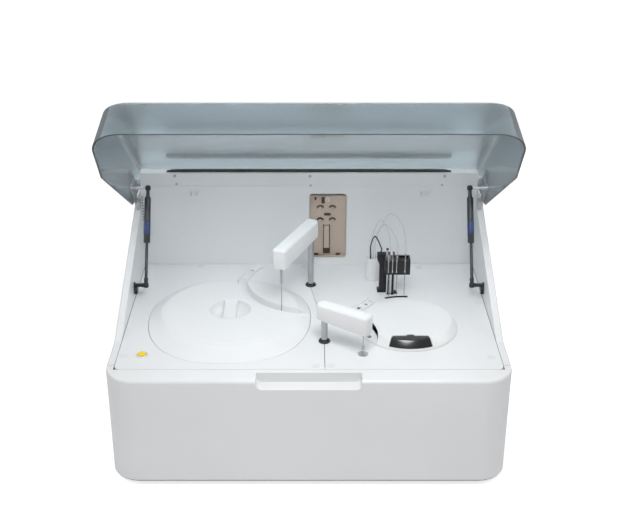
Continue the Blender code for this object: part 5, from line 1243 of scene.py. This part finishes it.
class ANALYZER_OT_mixer_arm(bpy.types.Operator):
    """Model the mixer arm with its column, collar and paddle"""

    bl_idname = "analyzer.mixer_arm"
    bl_label = "Mixer arm"

    def execute(self, context):
        arm = arm_shape("mixer_arm_body", MIXER_AXIS, MIXER_REACH, 0.046, 0.085, MIXER_REST)
        finish_piece(arm, WHITE, "mixer_arm", ("mixer_arm",), 30.0)
        column_piece("mixer_column_rod", MIXER_AXIS, 0.060, "mixer_arm", "mixer_column")
        collar_piece("mixer_column_collar", MIXER_AXIS, "mixer_collar")
        place = polar(MIXER_AXIS, MIXER_REACH, MIXER_REST)
        paddle = turned("mixer_paddle_shaft", place, PADDLE_PROFILE, 24)
        x, y = place
        low, high = at(x - 0.0028, y - 0.0007, 0.008), at(x + 0.0028, y + 0.0007, 0.018)
        blade = new_block("blade", low, high)
        round_along(blade, 1, 0.0012, 4)
        weld(paddle, blade)
        finish_piece(paddle, "steel", "mixer_paddle", ("mixer_paddle",))
        return {"FINISHED"}


# Casing

CASE_FOOT = -0.2218
LEDGE_TOP = -0.004
LEDGE_UNDER = -0.007
FRONT_SEAM = 0.0555
FRONT_RIM = 0.040
FRONT_ROUND = 0.008
EDGE_ROUND = 0.0015
SKIN = 0.003
INNER_HALF = 0.365
RECESS_HALF = 0.098
RECESS_DEPTH = 0.029
RECESS_DROP = 0.0195
RECESS_CORNER = 0.012


def front_outline(inset, radius, steps=18):
    """The front cover's plan: straight face, two large round corners, open behind."""
    half = HALF_WIDTH - inset
    left = arc_points((-half + radius, inset + radius), radius, 180.0, 270.0, steps)
    right = arc_points((half - radius, inset + radius), radius, 270.0, 360.0, steps)
    return [(-half, FRONT_SEAM), *left, *right, (half, FRONT_SEAM)]


def recess_outline(grown, top):
    """The finger recess seen from the front: two round lower corners."""
    half = RECESS_HALF + grown
    foot = -RECESS_DROP - grown
    radius = RECESS_CORNER + grown
    left = arc_points((-half + radius, foot + radius), radius, 180.0, 270.0, 8)
    right = arc_points((half - radius, foot + radius), radius, 270.0, 360.0, 8)
    return [(-half, top), *left, *right, (half, top)]


def fore_aft(name, outline, front, back):
    """An outline of across and height, raised from one depth to another."""
    return raised(name, [[at(x, y, z) for x, z in outline] for y in (front, back)])


def eased_sections(outer, inner, foot, top, drop, steps=6):
    """Loops from the foot up, the top edge rounded from one outline into the other."""
    sections = [[at(x, y, foot) for x, y in outer]]
    for step in range(steps + 1):
        turn = math.pi / 2 * step / steps
        inward, rise = 1 - math.cos(turn), math.sin(turn)
        loop = []
        for (outer_x, outer_y), (inner_x, inner_y) in zip(outer, inner):
            x = outer_x + (inner_x - outer_x) * inward
            y = outer_y + (inner_y - outer_y) * inward
            loop.append(at(x, y, top - drop * (1 - rise)))
        sections.append(loop)
    return sections


class ANALYZER_OT_front_cover(bpy.types.Operator):
    """Model the front cover with its rounded corners and finger recess"""

    bl_idname = "analyzer.front_cover"
    bl_label = "Front cover"

    def execute(self, context):
        outer = front_outline(0.0, CORNER_RADIUS)
        full = front_outline(FRONT_ROUND, CORNER_RADIUS - FRONT_ROUND)
        inner = []
        for (outer_x, outer_y), (inner_x, inner_y) in zip(outer, full):
            beyond = max(abs(outer_x) - HALF_WIDTH + CORNER_RADIUS, 0.0) / CORNER_RADIUS
            reach = 1 + (EDGE_ROUND / FRONT_ROUND - 1) * beyond
            x = outer_x + (inner_x - outer_x) * reach
            inner.append((x, outer_y + (inner_y - outer_y) * reach))
        inner[0] = (inner[0][0], FRONT_SEAM)
        inner[-1] = (inner[-1][0], FRONT_SEAM)
        sections = eased_sections(outer, inner, CASE_FOOT, 0.0, FRONT_ROUND, 8)
        cover = raised("front_cover_shell", sections)
        inside = []
        for x, y in front_outline(SKIN, CORNER_RADIUS - SKIN):
            inside.append((x, y + OVERRUN * (y > FRONT_SEAM - NEAR)))
        carve(cover, upright("hollow", inside, CASE_FOOT - OVERRUN, LEDGE_UNDER))
        seat_low = at(-INNER_HALF, FRONT_RIM, LEDGE_TOP)
        carve(cover, new_block("seat", seat_low, at(INNER_HALF, FRONT_SEAM + OVERRUN, OVERRUN)))
        pocket = fore_aft("pocket", recess_outline(SKIN, -0.005), SKIN / 2, RECESS_DEPTH + SKIN)
        weld(cover, pocket)
        carve(cover, fore_aft("recess", recess_outline(0.0, 0.01), -0.01, RECESS_DEPTH))
        with editing(cover):
            face_outward()
        finish_piece(cover, WHITE, "chassis", ("front_cover",), 28.0)
        return {"FINISHED"}


class ANALYZER_OT_small_fittings(bpy.types.Operator):
    """Model the plugs, screws, painted seam shade strips, studs, liners and seal of the chamber"""

    bl_idname = "analyzer.small_fittings"
    bl_label = "Small fittings"

    def execute(self, context):
        add_plugs()
        add_wall_screws()
        add_seams()
        add_hole_liners()
        add_rear_seal()
        return {"FINISHED"}


PLUG_PLACES = (
    (-0.352, 0.089),
    (0.013, 0.054),
    (0.042, 0.054),
    (0.347, 0.085),
    (0.354, 0.307),
    (-0.240, 0.482),
    (-0.010, 0.482),
    (0.244, 0.475),
)
CHAMBER_FACE = 0.4935
DOT_COUNT = 9
DOT_LOW = 0.108
DOT_PITCH = 0.0066
DOT_PROFILE = ((0.0013, 0.0), (0.0013, 0.0010), (0.0007, 0.0015))
SCREW_PLACES = (
    (-0.289, 0.2100),
    (0.0023, 0.2095),
    (0.2925, 0.2095),
    (-0.286, 0.191),
    (0.004, 0.188),
    (0.288, 0.189),
)


def add_plugs():
    """Flush round plugs with a finely stepped edge."""
    radius = sizes().cap_radius
    profile = (
        (radius, -0.002),
        (radius, 0.0002),
        (radius * 0.93, 0.0007),
        (radius * 0.86, 0.0007),
        (radius * 0.82, 0.0004),
        (radius * 0.4, 0.0004),
    )
    plugs = []
    for index, place in enumerate(PLUG_PLACES):
        plugs.append(turned(f"plug_{index}", place, profile, 32))
    finish_piece(gather("deck_plugs", plugs), "soft_white", "chassis")


def add_wall_screws():
    """Round-headed screws along the header and the wall."""
    radius = sizes().screw_radius
    screws = []
    for index, (x, height) in enumerate(SCREW_PLACES):
        small = radius if height > 0.2 else radius * 0.75
        start = at(x, CHAMBER_FACE + 0.001, height)
        profile = ((small, 0.0), (small, 0.0016), (small * 0.8, 0.0024), (small * 0.4, 0.0029))
        screws.append(rod(f"screw_{index}", start, start - FORWARD, profile, 24))
    finish_piece(gather("header_screws", screws), "grey_plastic", "chassis")


def add_seams():
    """Dark strips in the gaps of the chamber, painted shade for the shadow in its seams, and a row
    of small studs in its corner.
    """
    strips = []
    for side in (-1, 1):
        x = side * (INNER_HALF - 0.0006)
        low, high = sorted((x - side * 0.0002, x + side * 0.0005))
        deck_low = at(low, FRONT_RIM + 0.002, -0.0038)
        wall_low = at(low, CHAMBER_FACE + 0.0002, 0.004)
        strips.append(new_block("deck_seam", deck_low, at(high, 0.4835, 0.0002)))
        strips.append(new_block("wall_seam", wall_low, at(high, 0.496, 0.186)))
    strips.append(new_block("back_seam", at(-0.36, 0.4925, -0.0038), at(0.36, 0.4933, -0.0006)))
    for piece in strips:
        with editing(piece):
            pick("EDGE", lambda middle, way: abs(way.x) < 0.5)
            round_picked(0.0001, 1)
    finish_piece(gather("chamber_seam_shade", strips), "seam_shade", "chassis")
    dots = []
    for index in range(DOT_COUNT):
        height = DOT_LOW + index * DOT_PITCH
        start = at(-INNER_HALF + 0.0030, CHAMBER_FACE + 0.0005, height)
        dots.append(rod(f"dot_{index}", start, start - FORWARD, DOT_PROFILE, 12))
    finish_piece(gather("corner_studs", dots), BLACK, "chassis")


def liner(name, place, radius, low, high):
    profile = ((radius, low), (radius, high), (radius - 0.0004, high + 0.0002))
    ring = turned(name, place, profile, 32)
    inside = radius - 0.0011
    carve(ring, turned("bore", place, ((inside, low - OVERRUN), (inside, high + OVERRUN)), 32))
    return ring


def add_hole_liners():
    """Black liners of the needle holes, and the bezel of the slot over the cuvettes."""
    liners = [
        liner("liner_wash", polar(SAMPLE_AXIS, SAMPLE_REACH, 328.5), 0.0041, -0.0035, 0.0008),
        liner("liner_mix", polar(SAMPLE_AXIS, SAMPLE_REACH, 311.7), 0.0041, -0.0035, 0.0008),
    ]
    middle = CUVETTE_RADIUS
    outer = arc_band(REACTION_AXIS, middle - 0.0030, middle + 0.0030, 84.0, 111.0, 20)
    inner = arc_band(REACTION_AXIS, middle - 0.0017, middle + 0.0017, 85.0, 110.0, 20)
    slot = upright("slot_bezel", outer, -0.002, 0.0006)
    carve(slot, upright("slot", inner, -OVERRUN, OVERRUN))
    liners.append(slot)
    finish_piece(gather("needle_liners", liners), BLACK, "chassis")


def add_rear_seal():
    """The thin rubber lip that the lid shuts on, tapered at both ends."""
    base = 0.2163
    outline = (
        (-0.308, base),
        (0.308, base),
        (0.296, base + 0.0028),
        (0.270, base + 0.0036),
        (-0.270, base + 0.0036),
        (-0.296, base + 0.0028),
    )
    seal = fore_aft("rear_seal_lip", outline, 0.5000, 0.5110)
    ease_edges(seal, 0.0005, 2)
    finish_piece(seal, "rubber", "chassis", ("rear_seal",))


# Struts

STRUT_X = 0.340
STRUT_LOW = (0.327, 0.031)
STRUT_HIGH = (0.441, 0.203)
TUBE_PROFILE = (
    (0.0028, 0.0030),
    (0.0036, 0.0040),
    (0.0040, 0.0160),
    (0.0044, 0.0185),
    (0.0060, 0.0205),
    (0.0067, 0.0225),
    (0.0067, 0.1150),
    (0.0062, 0.1168),
    (0.0045, 0.1176),
)
BAND_PROFILE = ((0.00675, 0.0735), (0.00695, 0.0740), (0.00695, 0.0985), (0.00675, 0.0990))
BAND_BORE = ((0.0062, 0.0600), (0.0062, 0.1100))
ROD_PROFILE = (
    (0.0030, 0.0030),
    (0.0040, 0.0045),
    (0.0044, 0.0130),
    (0.0040, 0.0150),
    (0.0031, 0.0160),
    (0.0031, 0.0970),
    (0.0026, 0.0980),
)
STUD_PROFILE = (
    (0.0068, 0.0000),
    (0.0068, 0.0022),
    (0.0040, 0.0028),
    (0.0036, 0.0150),
    (0.0044, 0.0158),
    (0.0044, 0.0190),
)
EYE_PROFILE = (
    (0.0036, 0.0000),
    (0.0050, 0.0010),
    (0.0060, 0.0030),
    (0.0062, 0.0055),
    (0.0060, 0.0080),
    (0.0050, 0.0100),
    (0.0036, 0.0110),
)


class ANALYZER_OT_struts(bpy.types.Operator):
    """Model the two gas struts with their ball ends and coloured bands"""

    bl_idname = "analyzer.struts"
    bl_label = "Gas struts"

    def execute(self, context):
        across = Vector((0.01, 0.0, 0.0))
        for name, side in (("left", -1), ("right", 1)):
            low = at(side * STRUT_X, *STRUT_LOW)
            high = at(side * STRUT_X, *STRUT_HIGH)
            tube_body, rod_body = f"strut_tube_{name}", f"strut_rod_{name}"
            tube = rod(f"strut_{name}_cylinder", high, low, TUBE_PROFILE, 40)
            finish_piece(tube, "black_steel", tube_body, (tube_body,))
            band = rod(f"strut_{name}_band", high, low, BAND_PROFILE, 40)
            carve(band, rod("bore", high, low, BAND_BORE, 40))
            finish_piece(band, "blue_band", tube_body)
            stem = rod(f"strut_{name}_stem", low, high, ROD_PROFILE, 32)
            finish_piece(stem, "black_steel", rod_body, (rod_body,))
            for end, place, body in (("upper", high, tube_body), ("lower", low, rod_body)):
                start = place - Vector((0.0055, 0.0, 0.0))
                eye = rod(f"strut_{name}_{end}_eye", start, start + across, EYE_PROFILE, 28)
                finish_piece(eye, BLACK, body)
            wall = at(side * (INNER_HALF - 0.0005), STRUT_LOW[0], STRUT_LOW[1])
            stud = rod(f"strut_{name}_stud", wall, low, STUD_PROFILE, 24)
            inner, outer = sorted((side * 0.3580, side * 0.3646))
            plate = new_block("plate", at(inner, 0.3180, 0.0130), at(outer, 0.3330, 0.0290))
            round_along(plate, 0, 0.0035, 4)
            weld(stud, plate)
            node = f"strut_bracket_{name}"
            finish_piece(stud, BLACK, "chassis", (node,))
        return {"FINISHED"}


# Wash station

MAST = (0.156, 0.362)
MAST_HALF = 0.0075
HEAD_LEFT = 0.1580
HEAD_RIGHT = 0.2100
HEAD_BACK = 0.3542
HEAD_FRONT = 0.3262
HEAD_LOW = 0.055
HEAD_HIGH = 0.088
GUIDES = ((0.1676, 0.3462), (0.1760, 0.3462))
NEEDLE_TURNS = (88.45, 97.45, 106.45)
FITTING_PLACES = (0.1645, 0.1730, 0.1815, 0.1990)
NOTCH_HALF = 0.0019
CLEAR_TUBE = (0.1625, 0.3400)
STOPPER_PROFILE = ((0.0026, 0.1060), (0.0028, 0.1068), (0.0028, 0.1090), (0.0022, 0.1096))
TOWER = (0.139, 0.420)
TOWER_PROFILE = ((0.0140, 0.0003), (0.0140, 0.0500), (0.0136, 0.0512), (0.0128, 0.0518))
TOWER_BORE = ((0.0116, 0.0060), (0.0116, 0.0500), (0.0122, 0.0512), (0.0124, 0.0600))
TOWER_TOP = 0.052
GUIDE_PROFILE = (
    (0.0036, 0.0004),
    (0.0036, 0.0030),
    (0.0024, 0.0036),
    (0.0024, 0.0980),
    (0.0019, 0.0988),
)
WASH_NEEDLE_PROFILE = (
    (0.0003, 0.0040),
    (0.0007, 0.0060),
    (0.0007, 0.0400),
    (0.0010, 0.0405),
    (0.0010, 0.0560),
)
STUB_PROFILE = ((0.0019, 0.0875), (0.0019, 0.0920), (0.0013, 0.0926), (0.0013, 0.0990))
HOSE_PEAK = 0.160
HOSE_DROPS = (0.0, 0.22, 0.12)
HOSE_RADIUS = 0.00085
LEAD_RADIUS = 0.0014


class ANALYZER_OT_wash_station(bpy.types.Operator):
    """Model the wash mast, its sliding head, hoses, lead and hose tower"""

    bl_idname = "analyzer.wash_station"
    bl_label = "Wash station"

    def execute(self, context):
        make_mast()
        make_head()
        make_hoses()
        tower = turned("hose_tower", TOWER, TOWER_PROFILE, 64)
        carve(tower, turned("bore", TOWER, TOWER_BORE, 64))
        finish_piece(tower, WHITE, "chassis", ("tube_tower",))
        return {"FINISHED"}


def make_mast():
    x, y = MAST
    left, right = x - MAST_HALF, x + MAST_HALF
    front, back = y - MAST_HALF, y + MAST_HALF
    sections = []
    for reach, height in ((0.0, 0.0008), (0.0, 0.0640), (0.0055, 0.0770), (0.0055, 0.0885)):
        loop = [(left - reach, front), (right, front), (right, back), (left - reach, back)]
        sections.append([at(a, b, height) for a, b in loop])
    post = raised("wash_post", sections)
    ease_edges(post, 0.0007, 2)
    low = at(x - 0.0115, front - 0.0015, 0.0004)
    foot = new_block("foot", low, at(right, back + 0.0040, 0.0040))
    ease_edges(foot, 0.0006, 2)
    heel = new_block("heel", at(0.1795, 0.3470, 0.0004), at(0.1875, 0.3560, 0.0055))
    with editing(heel):
        pick("VERT", lambda place, way: place.x > 0.187 and place.z > DECK + 0.005)
        bpy.ops.transform.translate(value=(-0.0040, 0.0, 0.0))
    ease_edges(heel, 0.0005, 2)
    pieces = [post, foot, heel]
    for place in GUIDES:
        pieces.append(turned("guide", place, GUIDE_PROFILE, 24))
    finish_piece(gather("wash_mast_frame", pieces), BLACK, "chassis", ("wash_mast",))


def make_head():
    low, high = at(HEAD_LEFT, HEAD_FRONT, HEAD_LOW), at(HEAD_RIGHT, HEAD_BACK, HEAD_HIGH)
    head = new_block("wash_head_block", low, high)
    ease_edges(head, 0.0012, 3)
    wall = 0.004
    low = at(0.1875, HEAD_FRONT + wall, HEAD_HIGH - wall)
    pocket = new_block("pocket", low, at(0.2070, HEAD_BACK - wall, 0.1))
    round_along(pocket, 2, 0.0015, 3)
    carve(head, pocket)
    for index, place in enumerate(GUIDES):
        carve(head, turned(f"guide_bore_{index}", place, ((0.0028, 0.04), (0.0028, 0.10)), 24))
    for x in FITTING_PLACES:
        low = at(x - NOTCH_HALF, HEAD_FRONT - OVERRUN, 0.04)
        carve(head, new_block("notch", low, at(x + NOTCH_HALF, HEAD_FRONT + 0.0016, 0.10)))
    finish_piece(head, BLACK, "wash_head", ("wash_head",))
    fittings = []
    for index, x in enumerate(FITTING_PLACES):
        tall = 0.1010 if index != 1 else 0.1060
        profile = (
            (0.0009, 0.0600),
            (0.0016, 0.0606),
            (0.0016, 0.0640),
            (0.0011, 0.0646),
            (0.0011, 0.0840),
            (0.0017, 0.0846),
            (0.0017, 0.0900),
            (0.0010, 0.0906),
            (0.0010, tall),
        )
        fittings.append(turned("fitting", (x, HEAD_FRONT + 0.0002), profile, 16))
    for turn in NEEDLE_TURNS:
        place = polar(REACTION_AXIS, CUVETTE_RADIUS, turn)
        fittings.append(turned("needle", place, WASH_NEEDLE_PROFILE, 16))
        fittings.append(turned("stub", place, STUB_PROFILE, 16))
    finish_piece(gather("wash_needles", fittings), "steel", "wash_head")
    cap = turned("clear_tube", CLEAR_TUBE, ((0.0022, 0.0875), (0.0022, 0.1060)), 20)
    finish_piece(cap, "clear_plastic", "wash_head")
    stopper = turned("stopper", CLEAR_TUBE, STOPPER_PROFILE, 20)
    finish_piece(stopper, BLACK, "wash_head")


def lifted(point, height):
    return Vector((point.x, point.y, DECK + height))


def make_hoses():
    hoses = []
    for index, turn in enumerate(NEEDLE_TURNS):
        stub = at(*polar(REACTION_AXIS, CUVETTE_RADIUS, turn), 0.0985)
        start = at(TOWER[0] + (1 - index) * 0.0045, TOWER[1], 0.0440)
        rise = (HOSE_PEAK - TOWER_TOP) * (1 - HOSE_DROPS[index])
        places = [start, lifted(start, TOWER_TOP), lifted(start, TOWER_TOP + 0.040)]
        for across, along, high in ((0.45, 0.22, 1.00), (0.88, 0.72, 0.94)):
            x = start.x + (stub.x - start.x) * across
            y = start.y + (stub.y - start.y) * along
            places.append(Vector((x, y, DECK + TOWER_TOP + rise * high)))
        places += [lifted(stub, 0.1165), lifted(stub, 0.1045), stub]
        hoses.append(bent_rod(f"hose_{index}", smooth_route(places, 14), HOSE_RADIUS, 12))
    hoses = gather("clear_hoses", hoses)
    finish_piece(hoses, "hose", "wash_head", ("wash_hoses",), 60.0)
    start = at(TOWER[0] - 0.0066, TOWER[1] - 0.0055, 0.0065)
    end = at(MAST[0] - 0.0045, MAST[1] + 0.0030, 0.0880)
    top = start.lerp(end, 0.40)
    places = [
        start,
        lifted(start, TOWER_TOP),
        lifted(start, TOWER_TOP + 0.030),
        lifted(top, 0.112),
        lifted(end, 0.0990),
        lifted(end, 0.0925),
        end,
    ]
    lead = bent_rod("wash_lead", smooth_route(places, 14), LEAD_RADIUS, 16)
    finish_piece(lead, BLACK, "chassis", ("wash_cable",), 60.0)


# Electrode bay

AMBER = "amber_acrylic"
ISE_LEFT = 0.0005
ISE_WIDTH = 0.082
ISE_LOW = 0.0165
ISE_HEIGHT = 0.152
KEY = (ISE_LEFT + 0.040, ISE_LOW + ISE_HEIGHT - 0.013)
KEY_RADIUS = 0.0050
KEY_HOLE = 0.0021
KEY_POINT = 0.0090


def window_shape(grown, radius=0.008):
    left, right = ISE_LEFT - grown, ISE_LEFT + ISE_WIDTH + grown
    low, high = ISE_LOW - grown, ISE_LOW + ISE_HEIGHT + grown
    corners = ((left, low, 180.0), (right, low, 270.0), (right, high, 0.0), (left, high, 90.0))
    outline = []
    for x, z, start in corners:
        centre_x = x + math.copysign(radius, ISE_WIDTH / 2 - x)
        centre_z = z + math.copysign(radius, ISE_HEIGHT / 2 - z)
        outline += arc_points((centre_x, centre_z), radius, start, start + 90.0, 6)
    return outline


class ANALYZER_OT_electrode_bay(bpy.types.Operator):
    """Model the amber window, its key and the electrodes behind it"""

    bl_idname = "analyzer.electrode_bay"
    bl_label = "Electrode bay"

    def execute(self, context):
        shape = window_shape(-0.0006)
        pane = fore_aft("electrode_window", shape, CHAMBER_FACE, CHAMBER_FACE + 0.0022)
        ease_edges(pane, 0.0003, 2)
        finish_piece(pane, AMBER, "ise_cover", ("ise_cover",))
        x, z = KEY
        drop = arc_points(KEY, KEY_RADIUS, 150.0, 390.0, 16)
        drop.append((x, z + KEY_POINT))
        key = fore_aft("window_key", drop, CHAMBER_FACE - 0.0040, CHAMBER_FACE + 0.0005)
        hole = arc_points(KEY, KEY_HOLE, 0.0, 340.0, 17)
        through = (CHAMBER_FACE - 0.02, CHAMBER_FACE + 0.02)
        carve(key, fore_aft("hole", hole, *through))
        ease_edges(key, 0.0006, 2)
        finish_piece(key, "soft_white", "ise_cover")
        half = 0.0010
        shape = window_shape(0.0016, 0.0096)
        rim = fore_aft("window_rim", shape, CHAMBER_FACE - half, CHAMBER_FACE + half)
        carve(rim, fore_aft("opening", window_shape(0.0001), *through))
        finish_piece(rim, "soft_white", "chassis")
        make_electrodes()
        return {"FINISHED"}


ROLLER_PROFILE = (
    (0.0058, 0.0000),
    (0.0058, 0.0030),
    (0.0052, 0.0042),
    (0.0036, 0.0050),
    (0.0014, 0.0053),
)
TRIM_PLACES = (
    (0.0310, 0.0462, 0.0075, 0.0205),
    (0.0105, 0.0205, 0.0035, 0.0060),
    (0.0590, 0.0690, 0.0035, 0.0060),
    (0.0330, 0.0470, 0.0985, 0.1015),
    (0.0270, 0.0340, 0.1270, 0.1440),
    (0.0120, 0.0160, 0.1350, 0.1420),
)


def make_electrodes():
    """Rollers under dark hoods, the stack of electrodes and the trim round them."""
    face = CHAMBER_FACE + 0.012
    pale, dark = [], []
    for column in (0.0245, 0.0510):
        for row in (0.083, 0.112):
            start = at(ISE_LEFT + column, face + 0.001, ISE_LOW + row)
            pale.append(rod("roller", start, start - FORWARD, ROLLER_PROFILE, 28))
            hood = arc_band((ISE_LEFT + column, ISE_LOW + row), 0.0064, 0.0086, 25.0, 155.0, 12)
            dark.append(fore_aft("hood", hood, face - 0.0030, face + 0.001))
    for index in range(5):
        low = ISE_LOW + 0.0215 + index * 0.0108
        x = ISE_LEFT + 0.0385
        start = at(x - 0.0056, face - 0.0058, low)
        cell = new_block("cell", start, at(x + 0.0056, face, low + 0.0094))
        round_along(cell, 1, 0.0018, 4)
        pale.append(cell)
        for side in (-1, 1):
            edge = x + side * 0.0064
            start = at(edge - 0.0008, face - 0.0064, low)
            post = new_block("post", start, at(edge + 0.0008, face, low + 0.0104))
            ease_edges(post, 0.0002, 1)
            dark.append(post)
    for low_x, high_x, low_z, high_z in TRIM_PLACES:
        piece = new_block(
            "trim",
            at(ISE_LEFT + low_x, face - 0.0066, ISE_LOW + low_z),
            at(ISE_LEFT + high_x, face + 0.0005, ISE_LOW + high_z),
        )
        ease_edges(piece, 0.0006, 2)
        dark.append(piece)
    finish_piece(gather("electrode_stack", pale), "cream", "chassis")
    finish_piece(gather("electrode_trim", dark), "dark_grey", "chassis")


# Button

BUTTON = (-0.318, 0.093)
YELLOW = "yellow_plastic"
BEZEL_PROFILE = (
    (0.0122, 0.0001),
    (0.0122, 0.0009),
    (0.0116, 0.0016),
    (0.0106, 0.0020),
    (0.0098, 0.0021),
)
BEZEL_BORE = ((0.0089, -0.01), (0.0089, 0.0014), (0.0096, 0.0026))
CAP_PROFILE = (
    (0.0083, -0.0040),
    (0.0083, 0.0028),
    (0.0079, 0.0037),
    (0.0071, 0.0042),
    (0.0050, 0.0044),
    (0.0020, 0.0045),
)


class ANALYZER_OT_button(bpy.types.Operator):
    """Model the yellow button in its white bezel"""

    bl_idname = "analyzer.button"
    bl_label = "Button"

    def execute(self, context):
        bezel = turned("button_ring", BUTTON, BEZEL_PROFILE, 56)
        carve(bezel, turned("bore", BUTTON, BEZEL_BORE, 56))
        finish_piece(bezel, "soft_white", "chassis", ("button_bezel",))
        button = turned("button_cap", BUTTON, CAP_PROFILE, 56)
        finish_piece(button, YELLOW, "yellow_button", ("yellow_button",))
        return {"FINISHED"}


OPERATORS = (
    ANALYZER_OT_stage,
    ANALYZER_OT_paints,
    ANALYZER_OT_front_cover,
    ANALYZER_OT_lid,
    ANALYZER_OT_carousel_cover,
    ANALYZER_OT_reaction_cover,
    ANALYZER_OT_sample_arm,
    ANALYZER_OT_mixer_arm,
    ANALYZER_OT_struts,
    ANALYZER_OT_wash_station,
    ANALYZER_OT_electrode_bay,
    ANALYZER_OT_button,
    ANALYZER_OT_small_fittings,
)


class ANALYZER_PT_panel(bpy.types.Panel):
    """Sizes, colours and operators of the analyzer"""

    bl_idname = "ANALYZER_PT_panel"
    bl_label = "Analyzer"
    bl_space_type = "VIEW_3D"
    bl_region_type = "UI"
    bl_category = "Analyzer"

    def draw(self, context):
        layout = self.layout
        for group in (context.scene.analyzer_sizes, context.scene.analyzer_colours):
            box = layout.box()
            for name in group.__annotations__:
                box.prop(group, name)
        for operator in OPERATORS:
            layout.operator(operator.bl_idname)


CLASSES = (AnalyzerSizes, AnalyzerColours, *OPERATORS, ANALYZER_PT_panel)


def register():
    for each in CLASSES:
        bpy.utils.register_class(each)
    bpy.types.Scene.analyzer_sizes = bpy.props.PointerProperty(type=AnalyzerSizes)
    bpy.types.Scene.analyzer_colours = bpy.props.PointerProperty(type=AnalyzerColours)


def unregister():
    del bpy.types.Scene.analyzer_colours
    del bpy.types.Scene.analyzer_sizes
    for each in reversed(CLASSES):
        bpy.utils.unregister_class(each)


def main():
    """Build the whole model in order."""
    register()
    for operator in OPERATORS:
        group, name = operator.bl_idname.split(".")
        getattr(getattr(bpy.ops, group), name)()
    nothing_selected()


if __name__ == "__main__":
    main()
